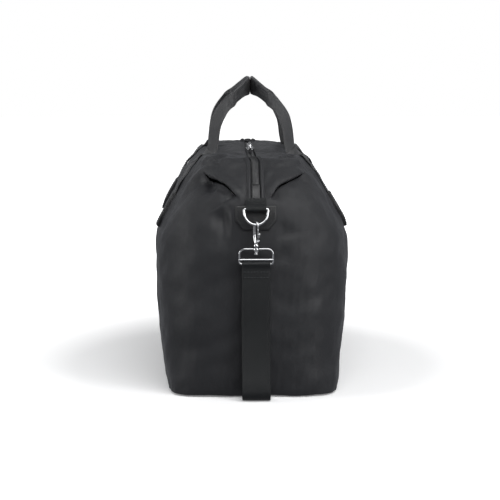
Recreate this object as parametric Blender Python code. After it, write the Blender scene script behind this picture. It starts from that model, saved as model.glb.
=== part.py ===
"""Weekender bag: a nylon shell on a stiff base, with a two-way zip, two webbing handles and a clipped strap.

Metres, +Z up. X runs along the bag, its near end at -X. The front face is at -Y.
The origin is on the floor, under the middle of the bag.
"""

import math

import bmesh
import bpy
from mathutils import Matrix, Vector

# Shell. Each station is one level of the shell's outer skin: height, half length, half width, and
# the exponent of its superellipse outline (2 is an ellipse, larger is squarer).
STATIONS = (
    (0.0026, 0.2160, 0.1190, 7.5),
    (0.0110, 0.2190, 0.1215, 6.5),
    (0.0600, 0.2230, 0.1285, 5.2),
    (0.1200, 0.2250, 0.1338, 4.6),
    (0.1750, 0.2253, 0.1360, 4.3),
    (0.2060, 0.2245, 0.1345, 4.2),
    (0.2280, 0.2235, 0.1275, 4.2),
    (0.2460, 0.2220, 0.1182, 4.0),
    (0.2620, 0.2190, 0.1095, 3.8),
    (0.2800, 0.2075, 0.1005, 3.4),
    (0.2960, 0.1945, 0.0910, 3.3),
    (0.3080, 0.1820, 0.0805, 3.5),
    (0.3155, 0.1720, 0.0725, 4.5),
    (0.3195, 0.1645, 0.0645, 5.5),
    (0.3205, 0.1630, 0.0450, 6.5),
    (0.3195, 0.1625, 0.0250, 8.0),
    (0.3185, 0.1625, 0.0065, 10.0),
)
HINGE_STATION = 5
TAB_STATION = 8
RIDGE_STATION = 13
ZIP_STATION = 16
PANEL_THICKNESS = 0.0020
MOUTH_HALF_LENGTH = 0.1600
SEAM_GAP = 0.0004
STATION_GAP = 0.018

# Base
BASE_BOTTOM = 0.0025
BASE_THICKNESS = 0.0020
BOARD_THICKNESS = 0.0025
BASE_HALF = (0.2120, 0.1165)
BOARD_HALF = (0.2090, 0.1135)
FOOT_RADIUS = 0.0080
FOOT_PLACE = (0.1700, 0.0950)

# Lining
LINING_OFFSET = 0.0045
LINING_THICKNESS = 0.0010
LINING_BOTTOM = 0.0080
LINING_TOP = 0.2030

# Zip
ZIP_TOP = STATIONS[ZIP_STATION][0]
CHAIN_HALF = 0.0032
TAPE_HALF = 0.0140
ZIP_HALF_LENGTH = 0.1570
SLIDER_REST_X = 0.0105
SLIDER_LENGTH = 0.0150
SLIDER_WIDTH = 0.0092
SLIDER_PLATE = 0.0026
PULL_LENGTH = 0.0300
PULL_WIDTH = 0.0084
PULL_THICKNESS = 0.0016
ZIP_END_HALF = 0.0095

# Handles
WEBBING_WIDTH = 0.0250
WEBBING_THICKNESS = 0.0020
HANDLE_PIVOT = (0.0620, 0.3225)
LEG_X_TOP = 0.0800
LEG_X_BOTTOM = 0.1040
LEG_TOP_STATION = 12.6
LEG_BOTTOM_STATION = 5.9
PATCH_HALF_WIDTH = 0.0170

# Strap hardware, one set at each end
END_CENTRE_Y = -0.0030
TAB_AXIS = (0.2275, 0.2580)
RING_DROP = 0.0214
RING_TILT = math.radians(21.3)
RING_HALF_WIDTH = 0.0160
RING_WIRE = 0.0019
HOOK_WIRE = 0.0019
HOOK_RADIUS = 0.0056
HOOK_TURN = math.radians(25)
GATE_WIRE = 0.0013
LOOP_HALF_WIDTH = 0.0223
LOOP_TOP = 0.2057
LOOP_BAR = 0.1914
LOOP_BOTTOM = 0.1857
LOOP_WIRE = 0.0016
LOOP_BAR_WIRE = 0.0015
STRAP_WIDTH = 0.0380
STRAP_THICKNESS = 0.0015
STRAP_JOIN_NEAR = 0.1500
STRAP_JOIN_FAR = 0.1000
STRAP_FLOOR_Z = 0.0011
STRAP_BASE_X = 0.2000
ADJUSTER_CENTRE_Z = 0.1280

RING_FOOT = (
    TAB_AXIS[0] + RING_DROP * math.sin(RING_TILT),
    TAB_AXIS[1] - RING_DROP * math.cos(RING_TILT),
)
CLIP_X = RING_FOOT[0]
HOOK_ARC_Z = RING_FOOT[1] + RING_WIRE + 0.0003 + HOOK_WIRE - HOOK_RADIUS

NEAR, FAR = -1, 1
FRONT, REAR = -1, 1
END_NAMES = {NEAR: "near", FAR: "far"}
FACE_NAMES = {FRONT: "front", REAR: "rear"}


# Materials


def material(name, colour, roughness, metallic=0.0):
    """A Principled material with one colour."""
    look = bpy.data.materials.new(name)
    look.use_nodes = True
    shader = look.node_tree.nodes["Principled BSDF"]
    shader.inputs["Base Color"].default_value = (*colour, 1.0)
    shader.inputs["Roughness"].default_value = roughness
    shader.inputs["Metallic"].default_value = metallic
    look.diffuse_color = (*colour, 1.0)
    return look


def nylon(name):
    return material(name, (0.050, 0.051, 0.055), 0.50)


def webbing(name):
    return material(name, (0.022, 0.023, 0.026), 0.55)


def leather(name):
    return material(name, (0.018, 0.018, 0.020), 0.45)


def lining(name):
    return material(name, (0.110, 0.110, 0.115), 0.70)


def board(name):
    return material(name, (0.060, 0.055, 0.050), 0.80)


def metal(name):
    return material(name, (0.620, 0.620, 0.630), 0.18, 1.0)


# Building blocks


def add_object(name, mesh_builder, make_material):
    """Turn a bmesh into a named object with its own material."""
    bmesh.ops.recalc_face_normals(mesh_builder, faces=mesh_builder.faces)
    mesh = bpy.data.meshes.new(name)
    mesh_builder.to_mesh(mesh)
    mesh_builder.free()
    obj = bpy.data.objects.new(name, mesh)
    bpy.context.scene.collection.objects.link(obj)
    mesh.materials.append(make_material(name))
    return obj


def place_origin(obj, point):
    """Move an object's origin to a point, such as one on its joint's axis, and leave its shape where it is."""
    obj.data.transform(Matrix.Translation(-Vector(point)))
    obj.location = point


def boolean(obj, tool, operation):
    """Join a tool object to another, or cut it out, and hide the tool."""
    step = obj.modifiers.new(tool.name, "BOOLEAN")
    step.operation = operation
    step.solver = "EXACT"
    step.object = tool
    tool.hide_render = True
    tool.display_type = "WIRE"


def loft(builder, rings, closed_path=False, caps=True):
    """Bridge equal closed rings of points, and cap both ends or join the last ring to the first."""
    layers = [[builder.verts.new(point) for point in ring] for ring in rings]
    count = len(layers[0])
    steps = list(zip(layers, layers[1:]))
    if closed_path:
        steps.append((layers[-1], layers[0]))
    for here, there in steps:
        for i in range(count):
            j = (i + 1) % count
            builder.faces.new((here[i], here[j], there[j], there[i]))
    if caps and not closed_path:
        builder.faces.new(layers[0])
        builder.faces.new(layers[-1])


def box(builder, low, high):
    """Add a box between two corners."""
    size = [b - a for a, b in zip(low, high)]
    middle = [(a + b) / 2 for a, b in zip(low, high)]
    place = Matrix.Translation(middle) @ Matrix.Diagonal((*size, 1.0))
    bmesh.ops.create_cube(builder, size=1.0, matrix=place)


def prism(builder, outline, low_y, high_y):
    """Extrude an outline of (x, z) points along Y."""
    rings = [[Vector((x, y, z)) for x, z in outline] for y in (low_y, high_y)]
    loft(builder, rings)


def turned(builder, profile, centre, sides):
    """Turn a profile of (radius, z) points about a vertical axis. It starts and ends on the axis."""
    rings = []
    for radius, z in profile[1:-1]:
        rings.append([
            Vector((
                centre[0] + radius * math.cos(math.tau * i / sides),
                centre[1] + radius * math.sin(math.tau * i / sides),
                z,
            ))
            for i in range(sides)
        ])
    loft(builder, rings)


def wire(builder, path, plane_normal, radius, sides=8, closed=False):
    """Sweep a circle along a path that lies in one plane."""
    rings = []
    count = len(path)
    for i, point in enumerate(path):
        before = path[i - 1] if closed or i else point
        after = path[(i + 1) % count] if closed or i < count - 1 else point
        across = (after - before).normalized().cross(plane_normal)
        rings.append([
            point
            + radius * math.cos(math.tau * k / sides) * across
            + radius * math.sin(math.tau * k / sides) * plane_normal
            for k in range(sides)
        ])
    loft(builder, rings, closed_path=closed)


def smooth_path(points, per_span):
    """A Catmull-Rom curve through points, with per_span steps in each span."""
    padded = [2 * points[0] - points[1], *points, 2 * points[-1] - points[-2]]
    path = []
    for p0, p1, p2, p3 in zip(padded, padded[1:], padded[2:], padded[3:]):
        for step in range(per_span):
            t = step / per_span
            path.append(0.5 * (
                2 * p1
                + (p2 - p0) * t
                + (2 * p0 - 5 * p1 + 4 * p2 - p3) * t ** 2
                + (3 * p1 - p0 - 3 * p2 + p3) * t ** 3
            ))
    path.append(points[-1])
    return path


# The shell's skin


def station(s):
    """Height, half length, half width and exponent at a station number, which may lie between two."""
    s = min(max(s, 0.0), len(STATIONS) - 1.0)
    low = min(int(s), len(STATIONS) - 2)
    return [a + (b - a) * (s - low) for a, b in zip(STATIONS[low], STATIONS[low + 1])]


def station_at(height):
    """The station number of a height on the shell's side."""
    for i, (low, high) in enumerate(zip(STATIONS, STATIONS[1:])):
        if low[0] <= height <= high[0]:
            return i + (height - low[0]) / (high[0] - low[0])
    raise ValueError(height)


def superellipse(along, half_along, half_across, exponent):
    """How far out a superellipse reaches at a distance along its other axis."""
    return half_across * (1 - abs(along / half_along) ** exponent) ** (1 / exponent)


def face_point(x, s, face):
    """A point on the front or rear skin, at a distance along the bag."""
    z, a, b, n = station(s)
    return Vector((x, face * superellipse(x, a, b, n), z))


def end_point(y, s, end):
    """A point on an end's skin, at a distance across the bag."""
    z, a, b, n = station(s)
    return Vector((end * superellipse(y, b, a, n), y, z))


def corner_point(w, s, end):
    """A point on an end piece: w goes from -1 at its rear seam to 1 at its front seam."""
    z, a, b, n = station(s)
    edge = superellipse(MOUTH_HALF_LENGTH + SEAM_GAP, a, b, n)
    y = -edge * math.sin(w * math.pi / 2)
    return Vector((end * superellipse(y, b, a, n), y, z))


def skin_normal(point, u, s):
    """The skin's outward normal, from points a little way off."""
    du, ds = 0.002, 0.5
    last = len(STATIONS) - 1
    along = point(u + du, s) - point(u - du, s)
    up = point(u, min(s + ds, last)) - point(u, max(s - ds, 0))
    normal = along.cross(up).normalized()
    middle = point(u, s)
    outward = middle - Vector((middle.x * 0.8, 0.0, 0.15))
    return normal if normal.dot(outward) > 0 else -normal


def sheet(name, point, us, ss, inner, outer, look, square=(), least_x=0.0):
    """A closed sheet that follows the skin between two offsets, outward positive.

    square lists the edges whose rim stays in one plane: (edge, axis), with edge one of
    u_low, u_high, s_low, s_high and axis 0, 1 or 2 for the coordinate that both layers share.
    No point comes nearer to the bag's middle along X than least_x.
    """
    edge_of = {"u_low": (0, 0), "u_high": (0, len(us) - 1), "s_low": (1, 0), "s_high": (1, len(ss) - 1)}
    layers = []
    for offset in (outer, inner):
        layer = {}
        for i, u in enumerate(us):
            for j, s in enumerate(ss):
                base = point(u, s)
                moved = base + offset * skin_normal(point, u, s)
                for edge, axis in square:
                    if (i, j)[edge_of[edge][0]] == edge_of[edge][1]:
                        moved[axis] = base[axis]
                if abs(moved.x) < least_x:
                    moved.x = math.copysign(least_x, base.x)
                layer[i, j] = moved
        layers.append(layer)
    builder = bmesh.new()
    top, bottom = [{key: builder.verts.new(p) for key, p in layer.items()} for layer in layers]
    last_u, last_s = len(us) - 1, len(ss) - 1
    for i in range(last_u):
        for j in range(last_s):
            corners = ((i, j), (i + 1, j), (i + 1, j + 1), (i, j + 1))
            builder.faces.new([top[c] for c in corners])
            builder.faces.new([bottom[c] for c in reversed(corners)])
    rim = [(i, 0) for i in range(last_u)]
    rim += [(last_u, j) for j in range(last_s)]
    rim += [(i, last_s) for i in range(last_u, 0, -1)]
    rim += [(0, j) for j in range(last_s, 0, -1)]
    for here, there in zip(rim, rim[1:] + rim[:1]):
        builder.faces.new((top[here], bottom[here], bottom[there], top[there]))
    return add_object(name, builder, look)


def spread(low, high, count):
    """Evenly spaced numbers from low to high."""
    return [low + (high - low) * i / (count - 1) for i in range(count)]


def lengthwise(half):
    """Places along the bag, closer together towards the ends, where the outline turns."""
    return [half * math.sin(w * math.pi / 2) for w in spread(-1.0, 1.0, 17)]


def stations_between(low, high, finer=1):
    """A station number for each edge and each whole station between, so sheets share their facets."""
    inside = [i / finer for i in range(math.ceil(low * finer), math.floor(high * finer) + 1)]
    inside = [s for s in inside if s - low > 0.08 and high - s > 0.08]
    return [low, *inside, high]


# Shell parts


def make_panels():
    """The front and rear panels, each in a lower part on the base and an upper part beside the mouth."""
    xs = lengthwise(MOUTH_HALF_LENGTH)
    for face, word in FACE_NAMES.items():
        def skin(x, s, face=face):
            return face_point(x, s, face)

        ends_flat = (("u_low", 0), ("u_high", 0))
        sheet(f"{word}_panel_lower", skin, xs, stations_between(0, HINGE_STATION - STATION_GAP),
              -PANEL_THICKNESS, 0.0, nylon, (*ends_flat, ("s_low", 2), ("s_high", 2)))
        sheet(f"{word}_panel_upper", skin, xs, stations_between(HINGE_STATION + STATION_GAP, ZIP_STATION),
              -PANEL_THICKNESS, 0.0, nylon, (*ends_flat, ("s_low", 2), ("s_high", 1)))


def make_ends():
    """The end panels, and the roof ends that slope up from the strap tabs to the mouth."""
    ws = spread(-1.0, 1.0, 15)
    for end, word in END_NAMES.items():
        def skin(w, s, end=end):
            return corner_point(w, s, end)

        ends_flat = (("u_low", 0), ("u_high", 0))
        least_x = MOUTH_HALF_LENGTH + SEAM_GAP
        sheet(f"end_panel_{word}", skin, ws, stations_between(0, TAB_STATION - STATION_GAP),
              -PANEL_THICKNESS, 0.0, nylon, (*ends_flat, ("s_low", 2)), least_x)
        sheet(f"roof_end_{word}", skin, ws, stations_between(TAB_STATION + STATION_GAP, RIDGE_STATION),
              -PANEL_THICKNESS, 0.0, nylon, ends_flat, least_x)


def outline_ring(half, exponent, z, count):
    """A closed superellipse ring of points at one height."""
    ring = []
    for i in range(count):
        angle = math.tau * (i + 0.5) / count
        c, s = math.cos(angle), math.sin(angle)
        x = half[0] * math.copysign(abs(c) ** (2 / exponent), c)
        y = half[1] * math.copysign(abs(s) ** (2 / exponent), s)
        ring.append(Vector((x, y, z)))
    return ring


def make_base():
    """The base panel, the stiffening board on it, and four feet."""
    builder = bmesh.new()
    top = BASE_BOTTOM + BASE_THICKNESS
    loft(builder, [outline_ring(BASE_HALF, 5.0, z, 40) for z in (BASE_BOTTOM, top)])
    add_object("base_panel", builder, leather)

    builder = bmesh.new()
    board_bottom = top + 0.0004
    board_top = board_bottom + BOARD_THICKNESS
    loft(builder, [outline_ring(BOARD_HALF, 5.0, z, 40) for z in (board_bottom, board_top)])
    add_object("base_board", builder, board)

    foot_top = BASE_BOTTOM - 0.0003
    profile = ((0, 0), (FOOT_RADIUS * 0.75, 0), (FOOT_RADIUS, 0.0012), (FOOT_RADIUS, foot_top), (0, foot_top))
    for face, face_word in FACE_NAMES.items():
        for end, end_word in END_NAMES.items():
            builder = bmesh.new()
            turned(builder, profile, (end * FOOT_PLACE[0], face * FOOT_PLACE[1]), 16)
            add_object(f"foot_{face_word}_{end_word}", builder, metal)


def make_lining():
    """The lining's tub, and its two flaps under the upper panels."""
    heights = (LINING_BOTTOM, 0.030, 0.060, 0.120, 0.175, LINING_TOP)

    def tub_ring(height, inset):
        _, a, b, n = station(station_at(height))
        return outline_ring((a - inset, b - inset), n, height, 36)

    outside = [tub_ring(z, LINING_OFFSET) for z in heights]
    inset = LINING_OFFSET + LINING_THICKNESS
    inside = [tub_ring(z, inset) for z in reversed(heights[1:])]
    inside.append([Vector((p.x, p.y, LINING_BOTTOM + LINING_THICKNESS)) for p in tub_ring(LINING_BOTTOM, inset)])
    builder = bmesh.new()
    loft(builder, outside + inside)
    add_object("lining_tub", builder, lining)

    xs = lengthwise(ZIP_HALF_LENGTH)
    for face, word in FACE_NAMES.items():
        def skin(x, s, face=face):
            return face_point(x, s, face)

        sheet(f"lining_flap_{word}", skin, xs, stations_between(HINGE_STATION + 0.05, ZIP_STATION - 1),
              -LINING_OFFSET, -0.0035, lining, (("u_low", 0), ("u_high", 0), ("s_low", 2)))


def make_inner_pocket():
    """A zipped pocket on the rear wall of the lining, with its slider."""
    def skin(x, s):
        return face_point(x, s, REAR)

    wall = -(LINING_OFFSET + LINING_THICKNESS + 0.0012)
    sheet("inner_pocket", skin, spread(-0.090, 0.090, 9),
          stations_between(station_at(0.055), station_at(0.170)), wall - 0.0010, wall, lining)
    strip_outer = wall - 0.0010 - 0.0008
    sheet("inner_pocket_zip", skin, spread(-0.082, 0.082, 9),
          [station_at(0.148), station_at(0.156)], strip_outer - 0.0012, strip_outer, webbing)

    front_y = skin(0.0, station_at(0.152)).y + strip_outer - 0.0012
    builder = bmesh.new()
    box(builder, (-0.079, front_y - 0.0042, 0.1475), (-0.070, front_y - 0.0012, 0.1565))
    box_pull = (-0.0755, front_y - 0.0034, 0.1300), (-0.0715, front_y - 0.0020, 0.1500)
    slider = add_object("inner_pocket_slider", builder, metal)
    builder = bmesh.new()
    box(builder, *box_pull)
    boolean(slider, add_object("pocket_pull_shape", builder, metal), "UNION")


# Zip


def make_zip():
    """Zip halves on the mouth, the closed lengths on the roof ends, and their end caps."""
    for face, word in FACE_NAMES.items():
        outline = (
            (face * SEAM_GAP, ZIP_TOP - 0.0040),
            (face * TAPE_HALF, ZIP_TOP - 0.0040),
            (face * TAPE_HALF, ZIP_TOP - 0.0027),
            (face * CHAIN_HALF, ZIP_TOP - 0.0027),
            (face * CHAIN_HALF, ZIP_TOP),
            (face * SEAM_GAP, ZIP_TOP),
        )
        builder = bmesh.new()
        rings = [[Vector((x, y, z)) for y, z in outline] for x in (-ZIP_HALF_LENGTH, ZIP_HALF_LENGTH)]
        loft(builder, rings)
        add_object(f"zip_half_{word}", builder, webbing)

    for end, word in END_NAMES.items():
        def skin(y, s, end=end):
            return end_point(y, s, end)

        centre = END_CENTRE_Y
        ys = spread(centre - ZIP_END_HALF, centre + ZIP_END_HALF, 3)
        sheet(f"zip_end_{word}", skin, ys, stations_between(9.25, 12.7), 0.0006, 0.0022, webbing)
        ys = spread(centre - 0.0110, centre + 0.0110, 3)
        sheet(f"zip_cap_{word}", skin, ys, stations_between(8.47, 9.20), 0.0006, 0.0026, leather)


def make_sliders():
    """The two sliders, head to head over the middle, each with a pull that lies towards its end."""
    floor = ZIP_TOP + 0.0003
    plate_top = floor + SLIDER_PLATE
    hinge_z = plate_top + 0.0018
    for end, word in END_NAMES.items():
        x = end * SLIDER_REST_X
        builder = bmesh.new()
        box(builder, (x - SLIDER_LENGTH / 2, -SLIDER_WIDTH / 2, floor),
            (x + SLIDER_LENGTH / 2, SLIDER_WIDTH / 2, plate_top))
        bmesh.ops.bevel(builder, geom=builder.edges[:], offset=0.0006, segments=1, affect="EDGES")
        slider = add_object(f"zip_slider_{word}", builder, metal)
        builder = bmesh.new()
        crown = [(x - 0.0044, plate_top - 0.0008), (x + 0.0044, plate_top - 0.0008),
                 (x + 0.0044, plate_top + 0.0050), (x + 0.0030, plate_top + 0.0068),
                 (x - 0.0030, plate_top + 0.0068), (x - 0.0044, plate_top + 0.0050)]
        prism(builder, crown, -0.0012, 0.0012)
        boolean(slider, add_object(f"crown_shape_{word}", builder, metal), "UNION")
        builder = bmesh.new()
        box(builder, (x - 0.0028, -0.0030, plate_top + 0.00004), (x + 0.0028, 0.0030, plate_top + 0.0050))
        boolean(slider, add_object(f"crown_eye_{word}", builder, metal), "DIFFERENCE")

        tip = x + end * PULL_LENGTH
        root = x - end * 0.0007
        builder = bmesh.new()
        box(builder, (min(root, tip), -PULL_WIDTH / 2, hinge_z - PULL_THICKNESS / 2),
            (max(root, tip), PULL_WIDTH / 2, hinge_z + PULL_THICKNESS / 2))
        pull = add_object(f"zip_pull_{word}", builder, metal)
        builder = bmesh.new()
        window = sorted((x + end * 0.0010, x + end * 0.0076))
        box(builder, (window[0], -0.0022, hinge_z - 0.0020), (window[1], 0.0022, hinge_z + 0.0020))
        boolean(pull, add_object(f"pull_window_{word}", builder, metal), "DIFFERENCE")
        place_origin(pull, (x, 0.0, hinge_z))


# Handles


def make_handle_legs():
    """The four webbing legs sewn down the shoulders, each under a leather patch at its foot."""
    def leg_x(s):
        share = (LEG_TOP_STATION - s) / (LEG_TOP_STATION - LEG_BOTTOM_STATION)
        return LEG_X_TOP + (LEG_X_BOTTOM - LEG_X_TOP) * share

    for face, face_word in FACE_NAMES.items():
        for end, end_word in END_NAMES.items():
            def skin(u, s, face=face, end=end):
                return face_point(end * (leg_x(s) + u), s, face)

            across = spread(-WEBBING_WIDTH / 2, WEBBING_WIDTH / 2, 3)
            rows = stations_between(LEG_BOTTOM_STATION, LEG_TOP_STATION)
            sheet(f"handle_leg_{face_word}_{end_word}", skin, across, rows, 0.0006, 0.0024, webbing)
            across = spread(-PATCH_HALF_WIDTH, PATCH_HALF_WIDTH, 3)
            rows = stations_between(5.6, 8.2)
            sheet(f"leg_patch_{face_word}_{end_word}", skin, across, rows, 0.0032, 0.0048, leather)


def handle_route(face):
    """Points along a handle, and which way its inner broad side looks there, from near to far root."""
    half = (
        ((-0.0800, 0.0580, 0.3225), (-0.45, 0.88, 0.00)),
        ((-0.0800, 0.0540, 0.3340), (-0.56, 0.82, 0.08)),
        ((-0.0798, 0.0522, 0.3467), (-0.58, 0.81, 0.08)),
        ((-0.0793, 0.0502, 0.3590), (-0.62, 0.78, 0.12)),
        ((-0.0783, 0.0470, 0.3700), (-0.69, 0.70, 0.18)),
        ((-0.0768, 0.0420, 0.3804), (-0.74, 0.58, 0.30)),
        ((-0.0742, 0.0345, 0.3905), (-0.74, 0.40, 0.48)),
        ((-0.0700, 0.0255, 0.3990), (-0.76, 0.10, 0.62)),
        ((-0.0630, 0.0165, 0.4062), (-0.74, -0.35, 0.56)),
        ((-0.0520, 0.0085, 0.4105), (-0.52, -0.80, 0.25)),
        ((-0.0360, 0.0036, 0.4122), (-0.12, -0.99, 0.02)),
        ((0.0000, 0.0014, 0.4125), (0.00, -1.00, 0.00)),
    )
    near = [(Vector(p), Vector(n)) for p, n in half]
    far = [(Vector((-p.x, p.y, p.z)), Vector((-n.x, n.y, n.z))) for p, n in reversed(near[:-1])]
    points, normals = zip(*(near + far))
    flip = Vector((1.0, face, 1.0))
    return [p * flip for p in points], [n * flip for n in normals]


def make_handles():
    """Two twisted webbing handles, whose grips lean together like a tent over the zip."""
    for face, word in FACE_NAMES.items():
        points, normals = handle_route(face)
        path = smooth_path(points, 3)
        looks = smooth_path(normals, 3)
        rings = []
        for i, (point, look) in enumerate(zip(path, looks)):
            tangent = (path[min(i + 1, len(path) - 1)] - path[max(i - 1, 0)]).normalized()
            normal = (look - look.dot(tangent) * tangent).normalized()
            width = tangent.cross(normal) * WEBBING_WIDTH / 2
            depth = normal * WEBBING_THICKNESS / 2
            rings.append([point + width + depth, point + width - depth,
                          point - width - depth, point - width + depth])
        builder = bmesh.new()
        loft(builder, rings)
        handle = add_object(f"handle_{word}", builder, webbing)
        place_origin(handle, (0.0, face * HANDLE_PIVOT[0], HANDLE_PIVOT[1]))


# Strap and its hardware


def make_ring_mounts():
    """At each end: a leather shield sewn to the shell, and the webbing tab that holds the ring."""
    for end, word in END_NAMES.items():
        def skin(y, s, end=end):
            return end_point(y, s, end)

        centre = END_CENTRE_Y
        ys = spread(centre - 0.027, centre + 0.027, 5)
        sheet(f"ring_patch_{word}", skin, ys, stations_between(station_at(0.2292), station_at(0.2613)),
              0.0006, 0.0024, leather)

        ys = spread(centre - 0.0135, centre + 0.0135, 3)
        tab = sheet(f"ring_tab_{word}", skin, ys, stations_between(station_at(0.2575), 8.45),
                    0.0028, 0.0052, webbing)
        for name, radius, length, operation in (
            ("tab_sleeve", 0.0038, 0.0270, "UNION"), ("tab_bore", 0.0023, 0.0400, "DIFFERENCE"),
        ):
            builder = bmesh.new()
            place = Matrix.Translation((end * TAB_AXIS[0], centre, TAB_AXIS[1])) @ Matrix.Rotation(math.pi / 2, 4, "X")
            bmesh.ops.create_cone(builder, cap_ends=True, segments=14, radius1=radius, radius2=radius,
                                  depth=length, matrix=place)
            boolean(tab, add_object(f"{name}_{word}", builder, webbing), operation)


def make_rings():
    """The D-rings: a straight bar in the tab and a bow that leans out from the shell."""
    for end, word in END_NAMES.items():
        down = Vector((end * math.sin(RING_TILT), 0.0, -math.cos(RING_TILT)))
        start = Vector((end * TAB_AXIS[0], END_CENTRE_Y, TAB_AXIS[1]))
        across = Vector((0.0, 1.0, 0.0))
        path = [start + across * y for y in spread(RING_HALF_WIDTH * 0.8, -RING_HALF_WIDTH * 0.8, 3)]
        for i in range(17):
            angle = math.pi * i / 16
            side = -RING_HALF_WIDTH * math.cos(angle)
            path.append(start + across * side + down * (RING_DROP * math.sin(angle) ** 0.8))
        builder = bmesh.new()
        wire(builder, path, down.cross(across), RING_WIRE, closed=True)
        ring = add_object(f"d_ring_{word}", builder, metal)
        place_origin(ring, start)


def clip_frame(end):
    """The clip's upright axis foot on the floor, and the direction in its hook's plane away from the gate."""
    foot = Vector((end * CLIP_X, END_CENTRE_Y, 0.0))
    back = Vector((-end * math.cos(HOOK_TURN), math.sin(HOOK_TURN), 0.0))
    return foot, back


def make_hooks():
    """The swivel hooks: a turned stem with a hook swept from its collar, and a sprung gate."""
    up = Vector((0.0, 0.0, 1.0))
    for end, word in END_NAMES.items():
        foot, back = clip_frame(end)
        centre = (foot.x, foot.y)
        profile = ((0, 0.1982), (0.0028, 0.1982), (0.0028, 0.2000), (0.0015, 0.2006), (0.0015, 0.2076),
                   (0.0038, 0.2076), (0.0038, 0.2120), (0.0024, 0.2138), (0, 0.2138))
        builder = bmesh.new()
        turned(builder, profile, centre, 14)
        hook = add_object(f"hook_{word}", builder, metal)

        outline = [(0.0000, 0.2106), (0.0022, 0.2140), (0.0048, 0.2185), (HOOK_RADIUS, 0.2250)]
        for i in range(9):
            angle = math.pi * i / 8
            outline.append((HOOK_RADIUS * math.cos(angle), HOOK_ARC_Z + HOOK_RADIUS * math.sin(angle)))
        outline.append((-HOOK_RADIUS, 0.2333))
        path = [foot + back * p + up * q for p, q in outline]
        builder = bmesh.new()
        wire(builder, path, back.cross(up), HOOK_WIRE)
        boolean(hook, add_object(f"hook_bow_{word}", builder, metal), "UNION")
        place_origin(hook, (foot.x, foot.y, 0.2038))

        path = [foot + back * p + up * q for p, q in ((-0.0055, 0.2318), (-0.0052, 0.2245), (-0.0046, 0.2168))]
        builder = bmesh.new()
        wire(builder, path, back.cross(up), GATE_WIRE)
        gate = add_object(f"hook_gate_{word}", builder, metal)
        path = [foot + back * p + up * q for p, q in ((-0.0050, 0.2218), (-0.0085, 0.2248))]
        builder = bmesh.new()
        wire(builder, path, back.cross(up), 0.0010, sides=6)
        boolean(gate, add_object(f"gate_lever_{word}", builder, metal), "UNION")
        place_origin(gate, foot + back * -0.0046 + up * 0.2173)


def make_strap_loops():
    """The rectangular wire loops on the strap's ends, each with a boss that the hook's stem turns in."""
    for end, word in END_NAMES.items():
        foot, _ = clip_frame(end)
        corner = 0.0045
        path = []
        for side_y, side_z, start_angle in ((1, 1, 0), (-1, 1, 90), (-1, -1, 180), (1, -1, 270)):
            middle_y = side_y * (LOOP_HALF_WIDTH - corner)
            middle_z = (LOOP_TOP - corner) if side_z > 0 else (LOOP_BOTTOM + corner)
            for i in range(5):
                angle = math.radians(start_angle + 90 * i / 4)
                path.append(Vector((foot.x, foot.y + middle_y + corner * math.cos(angle),
                                    middle_z + corner * math.sin(angle))))
        builder = bmesh.new()
        wire(builder, path, Vector((1.0, 0.0, 0.0)), LOOP_WIRE, closed=True)
        loop = add_object(f"strap_loop_{word}", builder, metal)
        builder = bmesh.new()
        bar = [Vector((foot.x, foot.y + side * LOOP_HALF_WIDTH, LOOP_BAR)) for side in (-1, 0, 1)]
        wire(builder, bar, Vector((1.0, 0.0, 0.0)), LOOP_BAR_WIRE)
        boolean(loop, add_object(f"loop_bar_{word}", builder, metal), "UNION")
        for name, radius, low, high, operation in (
            ("boss", 0.0040, 0.2022, 0.2072, "UNION"), ("boss_bore", 0.0019, 0.1990, 0.2100, "DIFFERENCE"),
        ):
            builder = bmesh.new()
            turned(builder, ((0, low), (radius, low), (radius, high), (0, high)), (foot.x, foot.y), 16)
            boolean(loop, add_object(f"{name}_{word}", builder, metal), operation)


def make_strap_ends():
    """The strap's two sewn ends, folded double round the bottom bars of the loops."""
    for end, word, low in ((NEAR, "near", STRAP_JOIN_NEAR), (FAR, "far", STRAP_JOIN_FAR)):
        x = end * CLIP_X
        bore = LOOP_WIRE + 0.0004
        outer = bore + STRAP_THICKNESS
        outline = [(x + outer * math.cos(math.radians(a)), LOOP_BOTTOM + outer * math.sin(math.radians(a)))
                   for a in range(-30, 211, 20)]
        outline += [(x - STRAP_THICKNESS, LOOP_BOTTOM - 0.0060), (x - STRAP_THICKNESS, low),
                    (x + STRAP_THICKNESS, low), (x + STRAP_THICKNESS, LOOP_BOTTOM - 0.0060)]
        low_y, high_y = END_CENTRE_Y - STRAP_WIDTH / 2, END_CENTRE_Y + STRAP_WIDTH / 2
        builder = bmesh.new()
        prism(builder, outline, low_y, high_y)
        strap_end = add_object(f"strap_end_{word}", builder, webbing)
        builder = bmesh.new()
        hole = [(x + bore * math.cos(math.radians(a)), LOOP_BOTTOM + bore * math.sin(math.radians(a)))
                for a in range(0, 360, 30)]
        prism(builder, hole, low_y - 0.004, high_y + 0.004)
        boolean(strap_end, add_object(f"bar_hole_{word}", builder, webbing), "DIFFERENCE")


def strap_strip(name, middle_line):
    """One length of strap: its thickness follows a line of (x, z) points, and its width lies along Y."""
    points = [Vector((x, 0.0, z)) for x, z in middle_line]
    one_side, other_side = [], []
    for i, point in enumerate(points):
        tangent = (points[min(i + 1, len(points) - 1)] - points[max(i - 1, 0)]).normalized()
        off = Vector((tangent.z, 0.0, -tangent.x)) * STRAP_THICKNESS / 2
        one_side.append(point + off)
        other_side.append(point - off)
    rings = []
    for a, b in zip(one_side, other_side):
        ring = []
        for point, side in ((a, -1), (a, 1), (b, 1), (b, -1)):
            ring.append(Vector((point.x, END_CENTRE_Y + side * STRAP_WIDTH / 2, point.z)))
        rings.append(ring)
    builder = bmesh.new()
    loft(builder, rings)
    return add_object(name, builder, webbing)


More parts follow.
